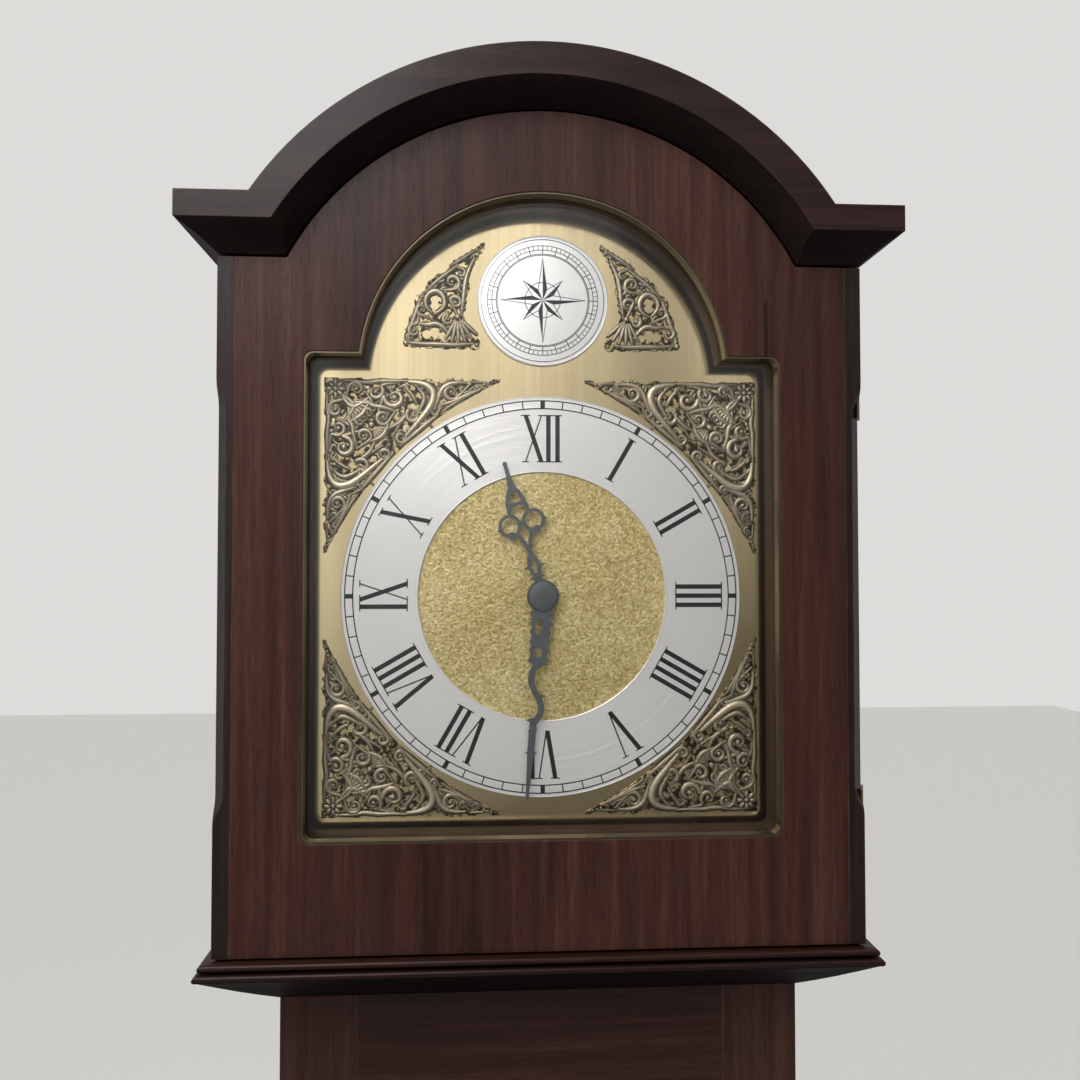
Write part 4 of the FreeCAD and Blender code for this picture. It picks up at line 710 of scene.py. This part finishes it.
track_inner, track_outer, hairline = 100.1 * mm, 104.3 * mm, 0.62 * mm
track = [
    hoop("circle", radius_of - hairline / 2, radius_of + hairline / 2, wax_depth, ring_face)
    for radius_of in (track_inner, track_outer)]
line = stroke(0, 0, track_inner, track_outer, hairline)
block = stroke(0, 0, track_inner, track_outer, thick_stroke)
for minute in range(60):
    mark = line if minute % 5 else block
    track.append(copied(mark, "mark", about_dial(math.radians(6 * minute), ring_face)))
for mark in (line, block):
    bpy.data.objects.remove(mark)
dressed(joined("minute_track", track), wax, "case")

# %% [markdown]
# The ring's two edges catch the light as thin bright lines. They are turned on a lathe, so
# they are spun: a small rounded section is carried round the dial's axis.

# %% Bright edges of the ring
def turned(name, section, y, z, sides=160):
    bpy.ops.mesh.primitive_circle_add(vertices=len(section), radius=1)
    ring = bpy.context.active_object
    ring.name = name
    for vertex, (out, back) in zip(ring.data.vertices, section):
        vertex.co = (out, back, 0)
    with editing(ring):
        bpy.ops.mesh.spin(steps=sides, angle=2 * math.pi, center=(0, 0, 0), axis=(0, 1, 0))
    ring.location = (0, y, z)
    return outward(settle(ring))


def bead_section(inner, outer, front, back, rise, steps=6):
    rim = []
    for step in range(steps + 1):
        share = step / steps
        rim.append((inner + (outer - inner) * share, front - rise * math.sin(math.pi * share)))
    return rim + [(outer, back), (inner, back)]


def lip(name, inner, outer, front, rise, z, sides=160):
    section = bead_section(inner, outer, front, -0.2 * mm, rise)
    ring = smooth(turned(name, section, dial.y, z, sides), 60)
    dressed(ring, silvered, "case")


lip("ring_lip", 105.6 * mm, 106.5 * mm, -1.35 * mm, 0.3 * mm, dial.z)
lip("centre_lip", 65.9 * mm, 66.9 * mm, -1.35 * mm, 0.3 * mm, dial.z)

# %% [markdown]
# The round plate in the arch is silvered and engraved. Its picture here is a plain compass
# star of eight points inside a ring of degrees, a pattern that has been cut on dials and
# instruments for centuries. The star is cut flat and then dropped on the slightly domed
# plate with Shrinkwrap, so it follows the curve.

# %% Compass star in the arch
boss_z = 158.3 * mm
boss_face = dial.y - 2.75 * mm
waist = 6.2 * mm
long_point, short_point = 23.0 * mm, 15.0 * mm


def half_point(length, turn):
    bpy.ops.mesh.primitive_plane_add(size=1)
    made = bpy.context.active_object
    tip, root = (0, 0, length), (0, 0, 0)
    shoulder = (waist * math.sin(math.pi / 8), 0, waist * math.cos(math.pi / 8))
    for vertex, place_of in zip(made.data.vertices, (root, shoulder, tip, tip)):
        vertex.co = place_of
    with editing(made):
        bpy.ops.mesh.remove_doubles(threshold=same_point)
        bpy.ops.mesh.select_all(action="SELECT")
        bpy.ops.mesh.subdivide(number_cuts=5)
    made.rotation_euler = (0, turn, 0)
    return settle(made)


def hairline_between(start, end, width):
    across, up = end[0] - start[0], end[1] - start[1]
    bpy.ops.mesh.primitive_plane_add(size=1)
    made = alone(bpy.context.active_object)
    made.scale = (width, math.hypot(across, up), 1)
    bpy.ops.object.transform_apply(location=False, rotation=False, scale=True)
    with editing(made):
        bpy.ops.mesh.subdivide(number_cuts=4)
    made.matrix_world = (
        Matrix.Translation(((start[0] + end[0]) / 2, 0, (start[1] + end[1]) / 2))
        @ Matrix.Rotation(math.atan2(across, up), 4, "Y") @ Matrix.Rotation(math.pi / 2, 4, "X"))
    return settle(made)


star = []
for point in range(8):
    reach = short_point if point % 2 else long_point
    turn = math.radians(45 * point)
    star.append(half_point(reach, turn))
    edge_turn = turn - math.pi / 8
    tip = (reach * math.sin(turn), reach * math.cos(turn))
    shoulder = (waist * math.sin(edge_turn), waist * math.cos(edge_turn))
    star.append(hairline_between(shoulder, tip, 0.35 * mm))


def tick_ring(count, inner, outer, width):
    bpy.ops.mesh.primitive_plane_add(size=1)
    first = alone(bpy.context.active_object)
    first.scale = (width, outer - inner, 1)
    first.rotation_euler = (math.radians(90), 0, 0)
    first.location = (0, 0, (inner + outer) / 2)
    settle(first)
    ticks = [copied(first, "tick", Matrix.Rotation(2 * math.pi * index / count, 4, "Y"))
             for index in range(count)]
    bpy.data.objects.remove(first)
    return ticks


star += tick_ring(72, 27.2 * mm, 29.6 * mm, 0.3 * mm)
star += tick_ring(24, 25.0 * mm, 29.6 * mm, 0.45 * mm)
compass = joined("compass_star", star)
compass.location = (0, boss_face, dial.z + boss_z)
settle(compass)
half_line, engraved = 0.2 * mm, 0.05 * mm
rings = [
    hoop("ring", radius_of - half_line, radius_of + half_line, engraved, boss_face, 128)
    for radius_of in (9.5 * mm, 24.4 * mm, 25.0 * mm, 27.2 * mm, 29.6 * mm, 33.0 * mm)]
for ring in rings:
    ring.location = (0, 0, boss_z)
    settle(ring)
compass = joined("compass_star", [compass] + rings)
modified(compass, "SHRINKWRAP", target=nodes["boss"], wrap_method="PROJECT",
         use_project_x=False, use_project_y=True, use_project_z=False,
         use_negative_direction=True, use_positive_direction=True, offset=0.03 * mm)
dressed(compass, wax, "case")
lip("boss_lip", 34.3 * mm, 35.2 * mm, -1.7 * mm, 0.35 * mm, dial.z + boss_z, 96)

# %% [markdown]
# The corner ornament is a cast rococo piece: scrolls and curling leaves crowd a triangle and
# run out to a point along each edge. The CAD holds its thin pierced ground plate, and the
# relief is laid on it here. A scroll is a tube that thins as it curls, so each is a
# curve with a radius at every point, turned into a mesh. One half is laid out on a grid
# from the corner, in millimetres along the edge and in from it, and the other half is its
# mirror image across the diagonal.

# %% Scrolls and leaves as tapering tubes
relief_depth = 0.62
relief_y = dial.y - 1.15 * mm
plump = 1.22


def tendril(points, radii):
    data = bpy.data.curves.new("tendril", "CURVE")
    data.dimensions = "3D"
    data.bevel_depth = 1.0
    data.bevel_resolution = 2
    data.resolution_u = 5
    data.use_fill_caps = True
    spline = data.splines.new("NURBS")
    spline.points.add(len(points) - 1)
    for spot, (across, up), radius_of in zip(spline.points, points, radii):
        spot.co = (across * mm, 0, up * mm, 1)
        spot.radius = radius_of * plump * mm
    spline.order_u = 3
    spline.use_endpoint_u = True
    made = bpy.data.objects.new("tendril", data)
    bpy.context.scene.collection.objects.link(made)
    alone(made)
    bpy.ops.object.convert(target="MESH")
    return bpy.context.active_object


def scroll(centre, radius_from, radius_to, start, sweep, thick, lead=None):
    # Start and sweep are in degrees, from the edge's direction towards the other edge.
    # A lead is a point outside the curl, where the stem comes from.
    steps = max(6, int(abs(sweep) / 32))
    points, radii = ([lead], [thick * 0.45]) if lead else ([], [])
    for step in range(steps + 1):
        share = step / steps
        angle = math.radians(start + sweep * share)
        reach = radius_from + (radius_to - radius_from) * share ** 0.85
        points.append((centre[0] + reach * math.cos(angle), centre[1] + reach * math.sin(angle)))
        radii.append(thick * (0.72 + 0.28 * math.sin(math.pi * min(1, share * 1.4)) - 0.3 * share))
    points.append(centre)
    radii.append(thick * 0.75)
    return tendril(points, radii)


def leaf(points, thick):
    count = len(points) - 1
    radii = [thick * (0.22 + 0.78 * math.sin(math.pi * (0.12 + 0.76 * i / count)))
             for i in range(count + 1)]
    return tendril(points, radii)


def pearl(x, z, radius_of):
    bpy.ops.mesh.primitive_ico_sphere_add(subdivisions=2, radius=radius_of * mm)
    made = bpy.context.active_object
    with editing(made):
        bpy.ops.transform.resize(value=(1, 0.8, 1))
    made.location = (x * mm, 0, z * mm)
    return settle(made)


def frond(spine, thick, lobes, length, side):
    # A leaf with small lobes along one side, each leaning towards the leaf's tip.
    made = [leaf(spine, thick)]
    stretches = len(spine) - 1
    for index in range(lobes):
        at_share = (index + 0.7) / (lobes + 0.6) * stretches
        first = min(int(at_share), stretches - 1)
        part = at_share - first
        (x0, z0), (x1, z1) = spine[first], spine[first + 1]
        run = math.hypot(x1 - x0, z1 - z0)
        ahead = ((x1 - x0) / run, (z1 - z0) / run)
        out = (-ahead[1] * side, ahead[0] * side)
        root = (x0 + (x1 - x0) * part, z0 + (z1 - z0) * part)
        reach = length * (1 - 0.35 * index / lobes)
        made.append(leaf([
            root,
            (root[0] + (out[0] * 0.7 + ahead[0] * 0.3) * reach * 0.6,
             root[1] + (out[1] * 0.7 + ahead[1] * 0.3) * reach * 0.6),
            (root[0] + (out[0] * 0.75 + ahead[0] * 0.8) * reach,
             root[1] + (out[1] * 0.75 + ahead[1] * 0.8) * reach)], thick * 0.62))
    return made


# %% [markdown]
# The half ornament runs from the diagonal to the pointed end. Large forms come first: the
# leaf that wraps the ring, the open scroll above it and the volute beyond. Small leaves
# then fill the gaps, and a row of shrinking pearls makes the point.

# %% Half of a corner
def half_corner():
    made = [
        scroll((37, 10.5), 6.0, 1.9, 200, -400, 1.7, lead=(28, 20)),
        scroll((27, 7.5), 4.6, 1.6, 300, 380, 1.4, lead=(38, 2.6)),
        scroll((67, 7.2), 4.6, 1.5, 40, 400, 1.4, lead=(77, 2.8)),
        scroll((47, 20), 4.4, 1.5, 250, -380, 1.4, lead=(36, 31)),
        scroll((17, 6), 4.4, 1.5, 180, 360, 1.35, lead=(11, 13)),
        scroll((81, 4.6), 2.4, 0.9, 200, -330, 0.95, lead=(74, 10)),
        scroll((31, 21), 4.4, 1.4, 60, 380, 1.4, lead=(38, 17)),
        scroll((23, 19), 3.4, 1.2, 160, 340, 1.2, lead=(17, 24)),
    ]
    made += frond(
        [(44, 1.9), (52, 2.2), (58, 6.5), (57, 14), (50, 23), (43, 31)], 2.1, 9, 4.2, 1)
    made += frond([(58, 17), (60, 11), (62, 5), (68, 1.8), (75, 2.2)], 1.5, 6, 3.4, -1)
    made += frond([(61, 14.4), (68, 12.4), (74, 9.4), (79, 6.4)], 1.25, 5, 2.6, 1)
    made += frond([(21, 11), (24, 15), (31, 15.4), (37, 17.5)], 1.4, 5, 2.8, 1)
    made += frond([(40, 36.4), (47, 30.2), (54, 24.2), (60, 19.4)], 1.3, 7, 2.8, -1)
    made += frond([(62, 17.8), (69, 12.8), (76, 8.8), (84, 4.6)], 1.1, 6, 2.2, -1)
    made += [
        scroll((58.6, 17.2), 2.6, 0.9, 60, 380, 1.1, lead=(63, 12)),
        scroll((52.4, 22.6), 3.0, 1.0, 240, -360, 1.2, lead=(57, 26)),
        scroll((40.6, 31.6), 3.2, 1.1, 60, 380, 1.25, lead=(46, 27)),
        scroll((73.6, 5.6), 2.4, 0.9, 20, 360, 1.0, lead=(79, 8)),
        scroll((5.2, 13.2), 2.2, 0.9, 90, 340, 0.95, lead=(3, 18)),
        scroll((42.4, 5.8), 2.4, 0.9, 180, 360, 1.0, lead=(39, 2)),
    ]
    made += [
        leaf([(7, 1.6), (15, 1.2), (22, 2.8), (29, 1.5), (37, 1.8), (44, 1.4)], 1.3),
        leaf([(9, 9), (13, 16), (19, 15), (24, 10)], 1.5),
        leaf([(33, 27), (39, 25), (43, 20), (46, 16)], 1.25),
        leaf([(42, 4.6), (47, 8.4), (48.6, 14)], 1.4),
        leaf([(49, 5), (53, 8.4), (52.5, 14), (47, 22)], 1.3),
        leaf([(33, 4.6), (36.5, 7), (36, 11)], 1.0),
        leaf([(60, 1.8), (63, 5), (62.5, 10)], 1.0),
        leaf([(77, 1.7), (82, 1.8), (87, 2.2)], 0.9),
        leaf([(22, 8), (25.5, 12.5), (27, 17.5)], 1.15),
        leaf([(12, 3.6), (18, 3.8), (22, 6.4)], 1.0),
    ]
    for along, inward, size_of in (
            (84.6, 3.0, 1.15), (86.8, 2.4, 1.0), (88.8, 1.9, 0.85), (90.5, 1.5, 0.7),
            (92.0, 1.2, 0.6), (37, 10.5, 1.8), (67, 7.2, 1.4), (27, 7.5, 1.5), (17, 6, 1.4),
            (47, 20, 1.3), (31, 21, 1.3), (81, 4.6, 0.9), (54, 19.4, 1.0), (64, 13.8, 0.8),
            (70, 11.6, 0.75), (76, 8.6, 0.7), (45.5, 28.5, 1.0), (23, 19, 1.1),
            (3.2, 11, 0.9), (3.0, 14.6, 0.8)):
        made.append(pearl(along, inward, size_of))
    return made


# %% [markdown]
# On the diagonal lie a flower in the corner and a fan of leaves like a shell below it. A
# petal is the same tapering tube as a leaf, short and fat.

# %% Flower and shell on the diagonal
def fan(centre, start, sweep, count, inner, outer, thick):
    made = []
    for index in range(count):
        angle = math.radians(start + sweep * index / max(1, count - 1))
        out = (math.cos(angle), math.sin(angle))
        made.append(leaf([
            (centre[0] + out[0] * reach, centre[1] + out[1] * reach)
            for reach in (inner, (inner + outer) / 2, outer)], thick))
    return made


half = joined("half_corner", half_corner())
other = copied(half, "other_half")
swap_edges = Matrix(((0, 0, 1, 0), (0, 1, 0, 0), (1, 0, 0, 0), (0, 0, 0, 1)))
other.data.transform(swap_edges)
outward(other)
middle_pieces = fan((6, 6), 0, 315, 8, 1.6, 5.2, 1.6) + [pearl(6, 6, 1.7)]
middle_pieces += fan((12.5, 12.5), 6, 78, 7, 3.0, 13.0, 1.5)
middle_pieces += fan((26, 26), 10, 70, 5, 2.0, 8.4, 1.3) + [pearl(25, 25, 1.9)]
middle_pieces += [leaf([(24, 34), (29, 32.5), (32.5, 29), (34, 24)], 1.4),
                  leaf([(12, 24), (18, 21.5), (21.5, 18), (24, 12)], 1.5)]
corner_casting = joined("corner_casting", [half, other] + middle_pieces)
corner_casting.scale = (1, relief_depth, 1)
settle(corner_casting)
print("corner ornament", len(corner_casting.data.polygons), "faces")

# %% [markdown]
# The grid becomes the dial's own plane: the corner lands on the dial's upper right corner
# with its arms pointing inward, and quarter turns carry copies to the other three.

# %% Four corners
corner_at = 115.7 * mm
to_corner = Matrix(((-1, 0, 0, corner_at), (0, 1, 0, 0), (0, 0, -1, corner_at), (0, 0, 0, 1)))
corner_casting.data.transform(to_corner)
smooth(outward(corner_casting), 60)
corner_names = ("upper_right", "lower_right", "lower_left", "upper_left")
for quarter, name in enumerate(corner_names):
    casting = copied(corner_casting, "ornament_" + name,
                     about_dial(math.radians(90 * quarter), relief_y))
    dressed(casting, antique, "case")
bpy.data.objects.remove(corner_casting)

# %% [markdown]
# The two pieces beside the round plate are small relations of the corners: scrolls turn
# round two openings, one above the other, a ribbed leaf spreads over the inner foot, and a
# stem climbs to a point. The right one is laid out in millimetres from the dial's centre,
# and the left one is its mirror image.

# %% Pair in the arch
arch_pieces = [
    leaf([(57.6, 150.6), (52.6, 152.6), (52.2, 159.6), (57, 163.6), (62.2, 160.4), (63, 154),
          (59, 150.8)], 1.5),
    leaf([(66.4, 145.2), (61.6, 144), (57.4, 145.6), (52.6, 143.4), (49.6, 138.6)], 1.4),
    scroll((68.4, 141.2), 4.0, 1.3, 120, -380, 1.3, lead=(66, 150)),
    scroll((64.6, 152.6), 3.4, 1.2, 250, 380, 1.2, lead=(58, 146.6)),
    scroll((48.4, 167.6), 4.6, 1.4, 250, -380, 1.4, lead=(56, 163)),
    scroll((43.6, 172.6), 2.8, 1.0, 60, 360, 1.1, lead=(47, 178)),
    scroll((46.4, 156.6), 3.8, 1.3, 20, 360, 1.3, lead=(44, 147)),
    scroll((54.8, 170), 2.8, 1.0, 200, 360, 1.0, lead=(61, 165)),
    scroll((50.4, 147.4), 3.6, 1.2, 100, -360, 1.2, lead=(55, 141)),
]
arch_pieces += fan((45.5, 149), 222, 76, 6, 2.5, 14.2, 1.35)
arch_pieces += frond([(50, 176), (45, 179), (40, 182.4), (35.4, 185.6)], 1.1, 4, 2.2, -1)
arch_pieces += frond(
    [(73, 135), (64, 134), (55, 134.2), (46, 133.6), (38, 134.6)], 1.25, 9, 2.0, 1)
arch_pieces += frond(
    [(71.6, 135), (71.4, 141), (68.6, 148), (66.6, 155), (64, 161)], 1.2, 7, 2.4, -1)
arch_pieces += frond([(63.6, 161), (58, 167), (51.6, 172), (45, 177)], 1.2, 6, 2.2, -1)
arch_pieces += frond(
    [(43.6, 150), (42.4, 158), (41.8, 166), (40, 174), (36.4, 181)], 1.3, 8, 2.2, 1)
for middle in (
        (70.6, 138), (68.4, 147.4), (63.4, 157.8), (58.4, 163.4), (52.4, 163), (43, 164.4)):
    start_anywhere = 40 * middle[0]
    arch_pieces.append(scroll(middle, 2.3, 0.8, start_anywhere, 360, 1.0))
for across, up, size_of in (
        (68.4, 141.2, 1.1), (64.6, 152.6, 1.0), (48.4, 167.6, 1.3), (72.8, 134.6, 1.7),
        (46.4, 156.6, 1.1), (36.8, 182.2, 1.3), (34.8, 184.8, 1.1), (33.0, 187.0, 0.95),
        (31.6, 188.6, 0.75), (35.2, 134.0, 1.3), (50.4, 147.4, 1.1), (43.6, 172.6, 1.0),
        (54.8, 170, 0.9), (45.4, 149, 1.7)):
    arch_pieces.append(pearl(across, up, size_of))
arch_right = joined("arch_right", arch_pieces)
arch_right.scale = (1, relief_depth, 1)
arch_right.location = (0, relief_y, dial.z)
settle(arch_right)
arch_left = copied(arch_right, "arch_left")
arch_left.scale = (-1, 1, 1)
settle(arch_left)
arch_pair = smooth(outward(joined("arch_ornament", [arch_right, arch_left])), 60)
dressed(arch_pair, antique, "case")

# %% [markdown]
# A collet holds the minute hand on its square. It is turned, so its outline is spun round
# the arbor: a broad flat washer with a rounded edge, and a low round end in its middle.

# %% Collet
collet_y = -0.0778
collet_section = [
    (0.01 * mm, 0.6 * mm), (0.01 * mm, -1.25 * mm), (1.2 * mm, -1.2 * mm), (1.5 * mm, -0.95 * mm),
    (6.9 * mm, -0.9 * mm), (7.5 * mm, -0.7 * mm), (7.8 * mm, -0.35 * mm), (7.9 * mm, 0.1 * mm),
    (7.9 * mm, 0.6 * mm)]
collet = smooth(turned("collet", collet_section, collet_y, dial.z, 64), 28)
dressed(collet, slate, "minute_group")

# %% [markdown]
# The moulding between hood and trunk is run in lengths with one plane profile: two beads
# over a nearly flat slope. A joiner cuts the lengths at 45 degrees where they meet. It is
# done the same way here: the profile is extruded into a long piece, and Bisect saws it.

# %% Neck moulding
def half_round(root, high, low, steps=8):
    half = (high - low) / 2
    angles = [math.pi * step / steps for step in range(steps + 1)]
    return [(root + half * math.sin(a), (high + low) / 2 + half * math.cos(a)) for a in angles]


neck_profile = [(0, 1291.9)] + half_round(31.7, 1291.9, 1288.4)
neck_profile += [(30.5, 1288.4), (30.5, 1287.5)] + half_round(33.6, 1287.5, 1283.9)
neck_profile += [(25.6, 1278.2), (17.0, 1272.2), (8.4, 1266.5), (0.9, 1261.8), (0.0, 1261.3)]
trunk_half, trunk_front, case_back = 137.8 * mm, -63.0 * mm, 102.5 * mm
rough_length = 500 * mm


def sawn(piece, through, facing):
    with editing(piece):
        bpy.ops.mesh.bisect(
            plane_co=through, plane_no=facing, use_fill=True, clear_outer=True)
    return piece


def moulded(name, turn):
    # One length, its profile's back on the plane y = 0 and its face towards -y.
    bpy.ops.mesh.primitive_circle_add(vertices=len(neck_profile), radius=1, fill_type="NGON")
    made = bpy.context.active_object
    made.name = name
    for vertex, (out, up) in zip(made.data.vertices, neck_profile):
        vertex.co = (-rough_length / 2, -out * mm, up * mm)
    with editing(made):
        bpy.ops.mesh.extrude_region_move(
            TRANSFORM_OT_translate={"value": (rough_length, 0, 0)})
    made.matrix_world = turn
    return outward(settle(made))


front = moulded("neck_front", Matrix.Translation((0, trunk_front, 0)))
corner = (trunk_half, trunk_front, 0)
sawn(front, corner, (1, 1, 0))
sawn(front, (-trunk_half, trunk_front, 0), (-1, 1, 0))
right = moulded("neck_right", Matrix.Translation((trunk_half, 0, 0)) @ Matrix.Rotation(
    math.pi / 2, 4, "Z"))
sawn(right, corner, (-1, -1, 0))
sawn(right, (0, case_back, 0), (0, 1, 0))
left = copied(right, "neck_left")
left.scale = (-1, 1, 1)
outward(settle(left))
neck = smooth(joined("neck_moulding_run", [front, right, left]), 30)
dressed(neck, moulding_wood, "case", ("neck_moulding",))
